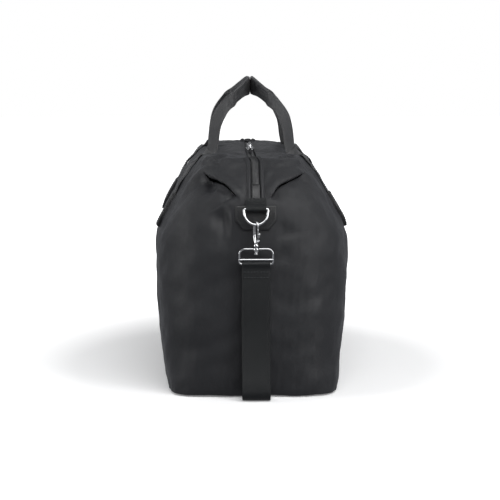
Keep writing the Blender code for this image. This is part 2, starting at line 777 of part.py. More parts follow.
def make_strap_runs():
    """The strap between its sewn ends: down each end of the bag, and along the floor under the base."""
    slack = ((0.2354, 0.0990), (0.2368, 0.0750), (0.2400, 0.0450), (0.2440, 0.0220), (0.2445, 0.0095),
             (0.2400, 0.0030), (0.2310, STRAP_FLOOR_Z), (0.2180, STRAP_FLOOR_Z), (STRAP_BASE_X, STRAP_FLOOR_Z))
    curve = smooth_path([Vector((x, 0.0, z)) for x, z in slack], 3)
    for end, word, join in ((NEAR, "near", STRAP_JOIN_NEAR), (FAR, "far", STRAP_JOIN_FAR)):
        line = [(end * p.x, p.z) for p in curve]
        if join > 0.11:
            line.insert(0, (end * CLIP_X, join - 0.0004))
        else:
            line[0] = (end * CLIP_X, join - 0.0004)
        strap_strip(f"strap_run_{word}", line)
    inside = STRAP_BASE_X - 0.0004
    strap_strip("strap_under", [(-inside, STRAP_FLOOR_Z), (0.0, STRAP_FLOOR_Z), (inside, STRAP_FLOOR_Z)])


def make_adjuster():
    """The sliding frame on the doubled strap at the far end."""
    x, z = CLIP_X, ADJUSTER_CENTRE_Z
    builder = bmesh.new()
    box(builder, (x - 0.0034, END_CENTRE_Y - 0.0245, z - 0.0115), (x + 0.0034, END_CENTRE_Y + 0.0245, z + 0.0115))
    bmesh.ops.bevel(builder, geom=builder.edges[:], offset=0.0010, segments=1, affect="EDGES")
    frame = add_object("strap_adjuster", builder, metal)
    builder = bmesh.new()
    box(builder, (x - 0.0021, END_CENTRE_Y - 0.0202, z - 0.0200), (x + 0.0021, END_CENTRE_Y + 0.0202, z + 0.0200))
    boolean(frame, add_object("adjuster_slot", builder, metal), "DIFFERENCE")


def make_badge():
    """The plain leather badge on the front."""
    def skin(x, s):
        return face_point(x, s, FRONT)

    sheet("front_badge", skin, spread(-0.030, 0.030, 5),
          stations_between(station_at(0.1620), station_at(0.2045)), 0.0006, 0.0028, leather)


def main():
    for obj in list(bpy.data.objects):
        bpy.data.objects.remove(obj, do_unlink=True)
    make_base()
    make_panels()
    make_ends()
    make_lining()
    make_inner_pocket()
    make_zip()
    make_sliders()
    make_handle_legs()
    make_handles()
    make_ring_mounts()
    make_rings()
    make_hooks()
    make_strap_loops()
    make_strap_ends()
    make_strap_runs()
    make_adjuster()
    make_badge()


main()
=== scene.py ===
"""Looks for the weekender bag: nylon shell, twisted webbing handles, a two-way zip and a clipped strap.

Metres, +Z up, in the CAD model's frame. X runs along the bag, its near end at -X. The front face is at -Y.
"""

import math

import bpy
import numpy as np
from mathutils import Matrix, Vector


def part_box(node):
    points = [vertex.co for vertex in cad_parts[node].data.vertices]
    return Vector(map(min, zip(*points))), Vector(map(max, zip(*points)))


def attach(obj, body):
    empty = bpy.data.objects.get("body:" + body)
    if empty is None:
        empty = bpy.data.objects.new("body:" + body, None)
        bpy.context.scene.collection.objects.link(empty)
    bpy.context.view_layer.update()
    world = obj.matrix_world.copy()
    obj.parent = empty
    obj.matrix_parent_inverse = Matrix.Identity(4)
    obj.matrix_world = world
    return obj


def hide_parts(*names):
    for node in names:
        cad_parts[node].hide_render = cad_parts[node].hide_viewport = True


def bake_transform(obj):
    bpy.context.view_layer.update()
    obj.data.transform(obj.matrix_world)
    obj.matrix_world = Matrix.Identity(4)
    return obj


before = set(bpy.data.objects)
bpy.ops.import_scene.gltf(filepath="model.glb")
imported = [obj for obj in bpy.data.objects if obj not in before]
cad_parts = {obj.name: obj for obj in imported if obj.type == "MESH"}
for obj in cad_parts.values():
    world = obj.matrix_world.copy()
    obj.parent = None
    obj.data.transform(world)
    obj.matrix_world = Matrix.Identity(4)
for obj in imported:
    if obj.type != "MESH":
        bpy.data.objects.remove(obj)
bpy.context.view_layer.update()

# Shell skin: height, half length, half width and outline exponent of each station, from the base to the
# zip's hem.
STATIONS = np.array((
    (0.0026, 0.2160, 0.1190, 7.5),
    (0.0110, 0.2190, 0.1215, 6.5),
    (0.0600, 0.2230, 0.1285, 5.2),
    (0.1200, 0.2250, 0.1338, 4.6),
    (0.1750, 0.2253, 0.1360, 4.3),
    (0.2060, 0.2245, 0.1345, 4.2),
    (0.2280, 0.2235, 0.1275, 4.2),
    (0.2460, 0.2220, 0.1182, 4.0),
    (0.2620, 0.2190, 0.1095, 3.8),
    (0.2800, 0.2105, 0.1005, 3.4),
    (0.2960, 0.1965, 0.0910, 3.3),
    (0.3080, 0.1820, 0.0805, 3.5),
    (0.3155, 0.1720, 0.0725, 4.5),
    (0.3192, 0.1645, 0.0645, 5.5),
    (0.3202, 0.1618, 0.0450, 6.5),
    (0.3192, 0.1598, 0.0250, 8.0),
    (0.3184, 0.1585, 0.0066, 10.0),
    (0.3174, 0.1580, 0.0058, 10.0),
    (0.3168, 0.1590, 0.0076, 10.0),
))
ZIP_STATION = 16
HEM_STATION = 18
FRONT, REAR = -1, 1
NEAR, FAR = -1, 1
FACE_NAMES = {FRONT: "front", REAR: "rear"}
END_NAMES = {NEAR: "near", FAR: "far"}

# Places shared with the CAD model
END_CENTRE_Y = -0.0030
TAB_AXIS = (0.2275, 0.2580)
RING_DROP = 0.0214
RING_TILT = math.radians(21.3)
RING_HALF_WIDTH = 0.0160
RING_WIRE = 0.0019
HOOK_WIRE = 0.0019
HOOK_RADIUS = 0.0056
HOOK_TURN = math.radians(25)
LOOP_HALF_WIDTH = 0.0223
LOOP_TOP = 0.2057
LOOP_BAR = 0.1914
LOOP_BOTTOM = 0.1857
LOOP_WIRE = 0.0014
STRAP_WIDTH = 0.0380
STRAP_THICKNESS = 0.0015
STRAP_JOIN = {NEAR: 0.1500, FAR: 0.1000}
# Heights of the rows of stitches across the strap. The adjuster slides up to just under the far end's.
STRAP_STITCHES = {NEAR: (0.1753, 0.1681), FAR: (0.1753, 0.1716)}
STRAP_FLOOR_Z = 0.0011
STRAP_BASE_X = 0.2000
CLIP_X = TAB_AXIS[0] + RING_DROP * math.sin(RING_TILT)
RING_FOOT_Z = TAB_AXIS[1] - RING_DROP * math.cos(RING_TILT)
HOOK_ARC_Z = RING_FOOT_Z + RING_WIRE + 0.0003 + HOOK_WIRE - HOOK_RADIUS
WEBBING_WIDTH = 0.0250
WEBBING_THICKNESS = 0.0020
LEG_X_TOP, LEG_X_BOTTOM = 0.0800, 0.1040
LEG_TOP_STATION, LEG_BOTTOM_STATION = 12.6, 5.9
SLIDER_REST_X = 0.0105


# Looks


class Look:
    """A Principled material under construction."""

    def __init__(self, name, roughness, metallic=0.0, **sockets):
        """A new material. Other sockets go by their names, with _ for each space."""
        self.material = bpy.data.materials.new(name)
        self.material.use_nodes = True
        self.tree = self.material.node_tree
        self.shader = self.tree.nodes["Principled BSDF"]
        self.shader.inputs["Roughness"].default_value = roughness
        self.shader.inputs["Metallic"].default_value = metallic
        for socket, value in sockets.items():
            self.shader.inputs[socket.replace("_", " ")].default_value = value
        self.cloth_uv = self.node("ShaderNodeUVMap", uv_map="fabric").outputs["UV"]
        self.place = self.node("ShaderNodeTexCoord").outputs["Object"]

    def node(self, kind, inputs=(), **settings):
        """A new node, with its inputs set to values or linked to other nodes' outputs."""
        made = self.tree.nodes.new(kind)
        for key, value in settings.items():
            setattr(made, key, value)
        for key, value in dict(inputs).items():
            if isinstance(value, bpy.types.NodeSocket):
                self.tree.links.new(value, made.inputs[key])
            else:
                made.inputs[key].default_value = value
        return made

    def math(self, operation, a, b=0.0):
        """One arithmetic step on one or two values."""
        return self.node("ShaderNodeMath", {0: a, 1: b}, operation=operation).outputs[0]

    def stripes(self, across, along):
        """A sine over the cloth, with so many waves per metre across and along it."""
        dot = self.node("ShaderNodeVectorMath", {0: self.cloth_uv, 1: (across, along, 0.0)},
                        operation="DOT_PRODUCT").outputs["Value"]
        return self.math("SINE", self.math("MULTIPLY", dot, math.tau))

    def mix(self, a, a_share, b, b_share):
        """Two values, each times its share, added up."""
        return self.math("ADD", self.math("MULTIPLY", a, a_share), self.math("MULTIPLY", b, b_share))

    def noise(self, scale, detail=3.0, stretch=(1.0, 1.0, 1.0)):
        """Noise in the piece's own space, with so many lumps per metre."""
        moved = self.node("ShaderNodeVectorMath", {0: self.place, 1: stretch}, operation="MULTIPLY")
        inputs = {"Vector": moved.outputs[0], "Scale": scale, "Detail": detail}
        return self.node("ShaderNodeTexNoise", inputs).outputs["Fac"]

    def span(self, value, low, high, from_low=0.0, from_high=1.0):
        """A value moved from one range to another."""
        return self.node("ShaderNodeMapRange", {
            "Value": value, "From Min": from_low, "From Max": from_high, "To Min": low, "To Max": high,
        }).outputs["Result"]

    def colour(self, value, low, high, dark, light):
        """Colour the surface from dark to light as a value goes from low to high."""
        mixed = self.tree.nodes.new("ShaderNodeMix")
        mixed.data_type = "RGBA"
        self.tree.links.new(self.span(value, 0.0, 1.0, low, high), mixed.inputs[0])
        mixed.inputs[6].default_value = (*dark, 1.0)
        mixed.inputs[7].default_value = (*light, 1.0)
        self.tree.links.new(mixed.outputs[2], self.shader.inputs["Base Color"])

    def rough(self, value, smooth, dull, low=0.3, high=0.7):
        """Set the roughness from smooth to dull as a value goes from low to high."""
        self.tree.links.new(self.span(value, smooth, dull, low, high), self.shader.inputs["Roughness"])

    def relief(self, height, depth, below=None):
        """A bump of the given depth in metres, over another bump."""
        bump = self.node("ShaderNodeBump", {"Height": height, "Distance": depth, "Strength": 1.0})
        if below is not None:
            self.tree.links.new(below, bump.inputs["Normal"])
        self.tree.links.new(bump.outputs["Normal"], self.shader.inputs["Normal"])
        return bump.outputs["Normal"]


def nylon_look():
    """Satin nylon twill: fine diagonal lines, slow changes of tone, and a little creasing."""
    look = Look("nylon_twill", 0.44, Specular_IOR_Level=0.28, Sheen_Weight=0.05, Sheen_Roughness=0.35)
    look.shader.inputs["Sheen Tint"].default_value = (0.80, 0.84, 0.92, 1.0)
    twill = look.stripes(1150.0, 1150.0)
    pick = look.stripes(0.0, 1900.0)
    weave = look.mix(twill, 0.5, pick, 0.22)
    mottle = look.mix(weave, 0.10, look.noise(9.0, 4.0), 1.0)
    look.colour(mottle, 0.25, 0.80, (0.0165, 0.0170, 0.0190), (0.0245, 0.0250, 0.0272))
    look.rough(look.noise(26.0), 0.38, 0.50)
    creases = look.relief(look.noise(48.0, 5.0), 0.0007)
    look.relief(weave, 0.00006, creases)
    return look.material


def webbing_look():
    """Seat-belt webbing: lengthwise ribs crossed by a fine herringbone."""
    look = Look("belt_webbing", 0.34, Specular_IOR_Level=0.70, Sheen_Weight=0.07, Sheen_Roughness=0.32)
    ribs = look.stripes(620.0, 0.0)
    rise = look.stripes(310.0, 520.0)
    fall = look.stripes(310.0, -520.0)
    cross = look.math("MAXIMUM", rise, fall)
    weave = look.mix(ribs, 0.35, cross, 0.65)
    look.colour(weave, -0.6, 1.0, (0.0080, 0.0083, 0.0092), (0.0400, 0.0405, 0.0430))
    look.rough(weave, 0.46, 0.30, -1.0, 1.0)
    look.relief(weave, 0.00030)
    return look.material


def strap_look():
    """Shoulder-strap webbing: a tighter, flatter rib."""
    look = Look("strap_webbing", 0.42, Specular_IOR_Level=0.30, Sheen_Weight=0.07, Sheen_Roughness=0.30)
    ribs = look.stripes(900.0, 0.0)
    picks = look.stripes(450.0, 900.0)
    weave = look.mix(ribs, 0.55, picks, 0.45)
    tone = look.mix(weave, 0.25, look.noise(14.0), 1.0)
    look.colour(tone, 0.1, 0.9, (0.0030, 0.0037, 0.0043), (0.0085, 0.0100, 0.0110))
    look.relief(weave, 0.00016)
    return look.material


def leather_look():
    """Black leather with a pebbled grain, and painted shade that darkens its valleys."""
    look = Look("pebbled_leather", 0.40, Specular_IOR_Level=0.45, Coat_Weight=0.08, Coat_Roughness=0.30)
    cells = look.node("ShaderNodeTexVoronoi", {"Vector": look.place, "Scale": 760.0, "Smoothness": 0.6},
                      feature="SMOOTH_F1").outputs["Distance"]
    grain = look.mix(cells, -0.9, look.noise(2200.0, 2.0), 0.3)
    # The colour follows the grain's height: painted shade, darker in the valleys between the pebbles.
    look.colour(grain, -0.7, 0.2, (0.0045, 0.0046, 0.0050), (0.0150, 0.0152, 0.0165))
    look.rough(look.noise(60.0), 0.34, 0.50)
    look.relief(grain, 0.00028)
    return look.material


def lining_look():
    """Plain woven lining, charcoal with a slight lustre."""
    look = Look("lining_taffeta", 0.55, Specular_IOR_Level=0.35, Sheen_Weight=0.20, Sheen_Roughness=0.40)
    warp = look.stripes(1400.0, 0.0)
    weft = look.stripes(0.0, 1400.0)
    weave = look.math("MULTIPLY", warp, weft)
    tone = look.mix(weave, 0.12, look.noise(12.0, 4.0), 1.0)
    look.colour(tone, 0.2, 0.8, (0.070, 0.071, 0.076), (0.120, 0.121, 0.128))
    creases = look.relief(look.noise(70.0, 5.0), 0.0012)
    look.relief(weave, 0.00006, creases)
    return look.material


def zip_tape_look():
    """Zip tape: a fine diagonal weave with a coated face."""
    look = Look("zip_tape", 0.34, Specular_IOR_Level=0.50)
    rise = look.stripes(900.0, 1300.0)
    look.colour(rise, -1.0, 1.0, (0.0065, 0.0070, 0.0080), (0.0130, 0.0138, 0.0150))
    look.rough(look.noise(120.0), 0.28, 0.42)
    look.relief(rise, 0.00007)
    return look.material


def thread_look():
    """Bonded nylon thread, with its twist."""
    look = Look("bonded_thread", 0.38, Specular_IOR_Level=0.55)
    twist = look.noise(1500.0, 2.0)
    look.colour(twist, 0.3, 0.7, (0.012, 0.013, 0.015), (0.034, 0.036, 0.040))
    look.relief(twist, 0.00010)
    return look.material


def metal_look():
    """Polished nickel plate, with faint smears and hairline scratches."""
    look = Look("nickel_plate", 0.10, 1.0)
    smears = look.noise(90.0, 4.0)
    hairs = look.noise(900.0, 2.0, stretch=(1.0, 0.12, 1.0))
    look.colour(smears, 0.3, 0.7, (0.44, 0.445, 0.455), (0.56, 0.565, 0.575))
    look.rough(look.mix(smears, 1.0, hairs, 0.5), 0.05, 0.14, 0.45, 1.05)
    look.relief(hairs, 0.00003)
    return look.material


def board_look():
    """Grey fibre board with flecks."""
    look = Look("fibre_board", 0.82, Specular_IOR_Level=0.3)
    flecks = look.noise(420.0, 4.0)
    look.colour(flecks, 0.35, 0.65, (0.040, 0.037, 0.034), (0.085, 0.080, 0.074))
    look.relief(flecks, 0.0003)
    return look.material


NYLON = nylon_look()
WEBBING = webbing_look()
STRAP = strap_look()
LEATHER = leather_look()
LINING = lining_look()
ZIP_TAPE = zip_tape_look()
THREAD = thread_look()
METAL = metal_look()
BOARD = board_look()


# Meshes


def smoothstep(low, high, value):
    """A smooth share, 0 at low and 1 at high."""
    share = np.clip((value - low) / (high - low), 0.0, 1.0)
    return share * share * (3.0 - 2.0 * share)


def unit(vectors):
    """Vectors made one long."""
    return vectors / np.maximum(np.linalg.norm(vectors, axis=-1, keepdims=True), 1e-12)


def path_length(points):
    """Distance along a line of points, from its start."""
    steps = np.linalg.norm(np.diff(points, axis=0), axis=1)
    return np.concatenate(([0.0], np.cumsum(steps)))


def smooth_path(points, per_span):
    """A Catmull-Rom curve through rows of numbers, with per_span steps in each span."""
    points = np.asarray(points, float)
    padded = np.vstack((2 * points[0] - points[1], points, 2 * points[-1] - points[-2]))
    share = np.arange(per_span)[:, None] / per_span
    spans = []
    for p0, p1, p2, p3 in zip(padded, padded[1:], padded[2:], padded[3:]):
        spans.append(0.5 * (
            2 * p1 + (p2 - p0) * share + (2 * p0 - 5 * p1 + 4 * p2 - p3) * share ** 2
            + (3 * p1 - p0 - 3 * p2 + p3) * share ** 3
        ))
    return np.vstack((*spans, points[-1:]))


def resample(points, count, *others):
    """Evenly spaced points along a line, and other rows at the same places."""
    along = path_length(points)
    places = np.linspace(0.0, along[-1], count)
    made = []
    for rows in (points, *others):
        rows = np.asarray(rows, float)
        made.append(np.stack([np.interp(places, along, rows[:, k]) for k in range(rows.shape[1])], axis=1))
    return made if others else made[0]


# A band's rounded edge, as a share of its thickness; how high its rolled sides rise, as a share of its
# width; and how deep a stitch lies in the cloth, as a share of its radius.
SELVEDGE = 0.45
CURL_RISE = 0.42
STITCH_SINK = 0.3


class Piece:
    """A mesh under construction, from grids, tubes, turned shapes and stitches."""

    def __init__(self):
        self.points = []
        self.faces = []
        self.uvs = []
        self.slots = []
        self.count = 0

    def add(self, points, faces, uvs, slot=0):
        """Add faces over their own points, with a cloth coordinate at each face corner."""
        points = np.asarray(points, float).reshape(-1, 3)
        faces = np.asarray(faces, int)
        self.points.append(points)
        self.faces.extend((faces + self.count).tolist())
        self.uvs.append(np.asarray(uvs, float).reshape(-1, 2))
        self.slots.extend([slot] * len(faces))
        self.count += len(points)

    def grid(self, points, uv=None, slot=0, wrap_columns=False, wrap_rows=False, flip=False):
        """Quads over rows and columns of points. uv has one more column or row where the grid wraps."""
        rows, columns = points.shape[:2]
        if uv is None:
            uv = grid_uv(points, wrap_columns, wrap_rows)
        i, j = np.meshgrid(np.arange(rows if wrap_rows else rows - 1),
                           np.arange(columns if wrap_columns else columns - 1), indexing="ij")
        i, j = i.ravel(), j.ravel()
        corners = ((i, j), (i, j + 1), (i + 1, j + 1), (i + 1, j))
        if flip:
            corners = corners[::-1]
        faces = np.stack([(r % rows) * columns + c % columns for r, c in corners], axis=1)
        uvs = np.stack([uv[r, c] for r, c in corners], axis=1)
        self.add(points, faces, uvs, slot)

    def fan(self, ring, tip, slot=0, flip=False):
        """Close a ring of points with triangles to one point."""
        count = len(ring)
        faces = [(k, (k + 1) % count, count) for k in range(count)]
        if flip:
            faces = [face[::-1] for face in faces]
        self.add(np.vstack((ring, tip)), faces, np.zeros((count, 3, 2)), slot)

    def tube(self, path, radii, sides=16, closed=False, slot=0, normal=None, squash=1.0):
        """A round tube along a path, with rounded ends. squash flattens it along the frame's normal."""
        path = np.asarray(path, float)
        radii = np.broadcast_to(np.asarray(radii, float), len(path)).copy()
        if closed:
            tangents = unit(np.roll(path, -1, axis=0) - np.roll(path, 1, axis=0))
        else:
            tangents = unit(np.gradient(path, axis=0))
        if normal is None:
            normal = np.cross(tangents[0], (0.3, 0.5, 0.81))
        frames = []
        current = np.asarray(normal, float)
        for tangent in tangents:
            current = current - current.dot(tangent) * tangent
            current = current / np.linalg.norm(current)
            frames.append(current)
        frames = np.array(frames)
        across = np.cross(tangents, frames)
        if not closed:
            caps = np.array((0.98, 0.85, 0.60, 0.25))
            shrink = np.sqrt(1.0 - caps ** 2)
            lead = path[0] - tangents[0] * radii[0] * caps[:, None]
            tail = path[-1] + tangents[-1] * radii[-1] * caps[::-1, None]
            path = np.vstack((lead, path, tail))
            radii = np.concatenate((radii[0] * shrink, radii, radii[-1] * shrink[::-1]))
            frames = np.vstack((np.repeat(frames[:1], 4, 0), frames, np.repeat(frames[-1:], 4, 0)))
            across = np.vstack((np.repeat(across[:1], 4, 0), across, np.repeat(across[-1:], 4, 0)))
        angles = np.arange(sides) / sides * math.tau
        rings = (path[:, None, :] + radii[:, None, None] * (
            np.cos(angles)[None, :, None] * across[:, None, :]
            + squash * np.sin(angles)[None, :, None] * frames[:, None, :]))
        self.grid(rings, slot=slot, wrap_columns=True, wrap_rows=closed, flip=True)
        if not closed:
            self.fan(rings[0], path[0], slot)
            self.fan(rings[-1], path[-1], slot, flip=True)

    def turned(self, profile, centre, sides=32):
        """A profile of (radius, z) points, turned about a vertical axis."""
        profile = np.asarray(profile, float)
        angles = np.arange(sides) / sides * math.tau
        circle = np.column_stack((np.cos(angles), np.sin(angles)))
        rings = np.stack([np.column_stack((circle * r + centre, np.full(sides, z))) for r, z in profile])
        self.grid(rings, wrap_columns=True)

    def layers(self, outline, middle, levels, flip=False, closed_below=False):
        """A flat shape built up from copies of an outline: (height, scale about the middle) each."""
        rings = np.stack([
            np.column_stack(((outline - middle) * scale + middle, np.full(len(outline), height)))
            for height, scale in levels
        ])
        self.grid(rings, wrap_columns=True, flip=flip)
        self.fan(rings[-1], rings[-1].mean(0), flip=flip)
        if closed_below:
            self.fan(rings[0], rings[0].mean(0), flip=not flip)

    def strip(self, path, looks, width, thickness, cup=0.0, curl=None):
        """A flat band of webbing along a path. looks is the way its broad side faces at each point.

        cup is how far its middle stands proud, and curl is the share of its width that its rolled-in
        sides take at each point.
        """
        path = np.asarray(path, float)
        tangents = unit(np.gradient(path, axis=0))
        looks = np.asarray(looks, float)
        normals = unit(looks - (looks * tangents).sum(1, keepdims=True) * tangents)
        across = np.cross(tangents, normals)
        section = band_section(width, thickness, SELVEDGE)
        lift = cup * (1.0 - (2.0 * section[:, 0] / width) ** 2)
        if curl is None:
            curl = np.zeros(len(path))
        drawn_in = (1.0 - curl)[:, None, None] * across[:, None, :]
        rolled = (curl * width * CURL_RISE)[:, None] * (1.0 - (2.0 * section[:, 0] / width) ** 2)[None, :]
        rings = (path[:, None, :] + section[None, :, :1] * drawn_in
                 + (section[None, :, 1:] + (lift[None, :] + rolled)[..., None]) * normals[:, None, :])
        round_section = np.vstack((section, section[:1]))
        u = path_length(np.hstack((round_section, np.zeros((len(round_section), 1)))))
        v = path_length(path)
        uv = np.stack(np.meshgrid(v, u, indexing="ij")[::-1], axis=-1)
        self.grid(rings, uv, wrap_columns=True, flip=True)
        self.fan(rings[0], rings[0].mean(0))
        self.fan(rings[-1], rings[-1].mean(0), flip=True)

    def stitches(self, line, normals, slot, length=0.0027, gap=0.0009, radius=0.00032):
        """A row of stitches along a line that lies on a surface with the given normals."""
        along = path_length(line)
        count = int(along[-1] / (length + gap))
        if count < 1:
            return
        pitch = along[-1] / count
        starts = (np.arange(count) + 0.5) * pitch - length / 2
        shape = np.array((-0.5, -0.34, 0.0, 0.34, 0.5))
        girth = np.array((0.35, 0.85, 1.0, 0.85, 0.35))
        dip = np.array((-0.9, -0.15, 0.25, -0.15, -0.9))
        angles = np.arange(6) / 6 * math.tau
        for start in starts:
            places = start + length / 2 + shape * length
            path = np.stack([np.interp(places, along, line[:, k]) for k in range(3)], axis=1)
            up = np.stack([np.interp(places, along, normals[:, k]) for k in range(3)], axis=1)
            up = unit(up)
            tangent = unit(path[-1:] - path[:1])
            side = unit(np.cross(np.repeat(tangent, 5, 0), up))
            centre = path + up * (radius * (1.0 - STITCH_SINK + dip))[:, None]
            round_it = (np.cos(angles)[None, :, None] * side[:, None, :]
                        + np.sin(angles)[None, :, None] * up[:, None, :])
            ring = centre[:, None, :] + radius * girth[:, None, None] * round_it
            self.grid(ring, np.zeros((5, 7, 2)), slot, wrap_columns=True, flip=True)

    def finish(self, name, looks):
        """The object itself, linked to the scene, with one material slot for each look."""
        mesh = bpy.data.meshes.new(name)
        mesh.from_pydata(np.vstack(self.points).tolist(), [], self.faces)
        layer = mesh.uv_layers.new(name="fabric")
        layer.data.foreach_set("uv", np.vstack(self.uvs).astype(np.float32).ravel())
        for look in looks:
            mesh.materials.append(look)
        mesh.polygons.foreach_set("material_index", self.slots)
        mesh.polygons.foreach_set("use_smooth", [True] * len(self.faces))
        mesh.validate()
        obj = bpy.data.objects.new(name, mesh)
        bpy.context.scene.collection.objects.link(obj)
        return obj


def grid_uv(points, wrap_columns=False, wrap_rows=False):
    """Metric cloth coordinates of a grid: distance along its columns and its rows."""
    if wrap_columns:
        points = np.concatenate((points, points[:, :1]), axis=1)
    if wrap_rows:
        points = np.concatenate((points, points[:1]), axis=0)
    middle_row = points[len(points) // 2]
    middle_column = points[:, points.shape[1] // 2]
    u, v = path_length(middle_row), path_length(middle_column)
    return np.stack(np.meshgrid(v, u, indexing="ij")[::-1], axis=-1)


def band_section(width, thickness, edge):
    """The outline of a webbing band, as (across, out) points, with rounded selvedges."""
    half, depth = width / 2, thickness / 2
    radius = min(depth, edge * thickness + 0.0002)
    arc = np.linspace(0.0, math.pi / 2, 4)
    corner = np.stack((half - radius + radius * np.cos(arc), depth - radius + radius * np.sin(arc)), axis=1)
    top = np.stack((np.linspace(half - radius, -half + radius, 9)[1:-1], np.full(7, depth)), axis=1)
    upper = np.vstack((corner, top, corner[::-1] * (-1, 1)))
    return np.vstack((upper, upper * (-1, -1)))


# Skin


def steps_between(values):
    """Monotone cubic slopes for rows of numbers at whole steps."""
    change = np.diff(values, axis=0)
    slopes = np.zeros_like(values)
    before, after = change[:-1], change[1:]
    same = before * after > 0
    slopes[1:-1][same] = (2.0 * before * after / np.where(same, before + after, 1.0))[same]
    slopes[0], slopes[-1] = change[0], change[-1]
    return slopes


STATION_SLOPES = steps_between(STATIONS)


def station(s):
    """Height, half length, half width and exponent at station numbers, smooth between the whole ones."""
    s = np.clip(np.asarray(s, float), 0.0, len(STATIONS) - 1.0)
    low = np.minimum(s.astype(int), len(STATIONS) - 2)
    t = (s - low)[..., None]
    p0, p1 = STATIONS[low], STATIONS[low + 1]
    m0, m1 = STATION_SLOPES[low], STATION_SLOPES[low + 1]
    value = ((2 * t ** 3 - 3 * t ** 2 + 1) * p0 + (t ** 3 - 2 * t ** 2 + t) * m0
             + (-2 * t ** 3 + 3 * t ** 2) * p1 + (t ** 3 - t ** 2) * m1)
    return np.moveaxis(value, -1, 0)


def station_at(height):
    """The station number of a height on the shell's side."""
    s = np.linspace(0.0, 14.0, 1401)
    return np.interp(height, station(s)[0], s)


def superellipse(along, half_along, half_across, exponent):
    """How far out a superellipse reaches at a distance along its other axis."""
    inside = np.maximum(1.0 - np.abs(along / half_along) ** exponent, 0.0)
    return half_across * inside ** (1.0 / exponent)


def ripple(points, wavelength, seed):
    """Smooth noise about 1 high: a sum of plane waves whose directions come from a seed."""
    waves = 14
    random = np.random.default_rng(seed)
    total = np.zeros(points.shape[:-1])
    for _ in range(waves):
        direction = random.normal(size=3)
        direction = direction / np.linalg.norm(direction) * math.tau / wavelength * random.uniform(0.6, 1.5)
        total += np.sin(points @ direction + random.uniform(0.0, math.tau))
    return total / math.sqrt(waves / 2)


def away_from(px, pz, start, end):
    """Distance from a straight line between two points, in one plane, and how far along it is nearest."""
    dx, dz = end[0] - start[0], end[1] - start[1]
    share = np.clip(((px - start[0]) * dx + (pz - start[1]) * dz) / (dx * dx + dz * dz), 0.0, 1.0)
    return np.hypot(px - start[0] - share * dx, pz - start[1] - share * dz), share


def dents(px, pz, folds):
    """Soft valleys: (start, end, half width, depth at start, depth at end) each."""
    total = np.zeros_like(px)
    for start, end, spread, deep, shallow in folds:
        distance, share = away_from(px, pz, start, end)
        total -= (deep + (shallow - deep) * share) * np.exp(-0.5 * (distance / spread) ** 2)
    return total


# The folds under the tongue that the zip ends in: (across, height) points, from the strap tab outward.
LEFT_FOLD = smooth_path(((0.0200, 0.2690), (0.0240, 0.2765), (0.0310, 0.2850), (0.0410, 0.2925),
                         (0.0560, 0.2990), (0.0680, 0.3020), (0.0760, 0.3030)), 4)
RIGHT_FOLD = smooth_path(((0.0205, 0.2680), (0.0245, 0.2765), (0.0300, 0.2850), (0.0400, 0.2905),
                          (0.0570, 0.2970), (0.0710, 0.3015), (0.0790, 0.3030)), 4)
END_FOLDS = (
    ((0.0660, 0.2960), (0.0560, 0.2720), 0.0095, 0.0085, 0.0012),
    ((0.0660, 0.2880), (0.0990, 0.2760), 0.0075, 0.0060, 0.0016),
    ((0.0380, 0.2810), (0.0560, 0.2900), 0.0028, 0.0016, 0.0020),
    ((0.0700, 0.2620), (0.0300, 0.2380), 0.0130, 0.0028, 0.0052),
    ((0.0300, 0.2380), (-0.0160, 0.2170), 0.0120, 0.0052, 0.0018),
    ((-0.0300, 0.2200), (-0.0760, 0.2290), 0.0044, 0.0015, 0.0006),
    ((-0.0340, 0.2330), (-0.0560, 0.2300), 0.0070, 0.0018, 0.0006),
    ((-0.0740, 0.2880), (-0.0960, 0.2690), 0.0090, 0.0020, 0.0008),
    ((0.0950, 0.1100), (0.1030, 0.0350), 0.0120, 0.0012, 0.0022),
    ((-0.0980, 0.1500), (-0.1060, 0.0450), 0.0080, 0.0010, 0.0020),
    ((-0.1120, 0.1300), (-0.1140, 0.0700), 0.0040, 0.0012, 0.0008),
)
FACE_FOLDS = (
    ((0.1040, 0.1950), (0.1250, 0.0900), 0.0100, 0.0030, 0.0006),
    ((-0.1040, 0.1950), (-0.1300, 0.0800), 0.0100, 0.0030, 0.0006),
    ((0.0820, 0.1950), (0.0600, 0.1200), 0.0090, 0.0022, 0.0004),
    ((-0.0820, 0.1950), (-0.0560, 0.1100), 0.0090, 0.0022, 0.0004),
    ((-0.0550, 0.2450), (0.0550, 0.2400), 0.0120, 0.0024, 0.0024),
    ((-0.1500, 0.2300), (-0.1220, 0.2900), 0.0080, 0.0010, 0.0030),
    ((0.1500, 0.2300), (0.1240, 0.2900), 0.0080, 0.0010, 0.0030),
    ((-0.1700, 0.0500), (-0.0900, 0.0300), 0.0090, 0.0014, 0.0004),
    ((0.1650, 0.0550), (0.0800, 0.0280), 0.0090, 0.0014, 0.0004),
)
ROOF_FOLDS = (
    ((-0.1600, 0.0500), (-0.0800, 0.0120), 0.0045, 0.0034, 0.0014),
    ((-0.1350, -0.0560), (-0.0980, -0.0140), 0.0060, 0.0026, 0.0010),
    ((-0.1500, -0.0400), (-0.1080, -0.0560), 0.0020, 0.0030, 0.0038),
    ((0.1500, -0.0500), (0.0800, -0.0130), 0.0050, 0.0030, 0.0012),
    ((0.1300, 0.0560), (0.0950, 0.0140), 0.0060, 0.0026, 0.0010),
    ((-0.0300, 0.0520), (0.0500, 0.0440), 0.0100, 0.0030, 0.0030),
    ((-0.0500, -0.0440), (0.0300, -0.0520), 0.0100, 0.0030, 0.0030),
)


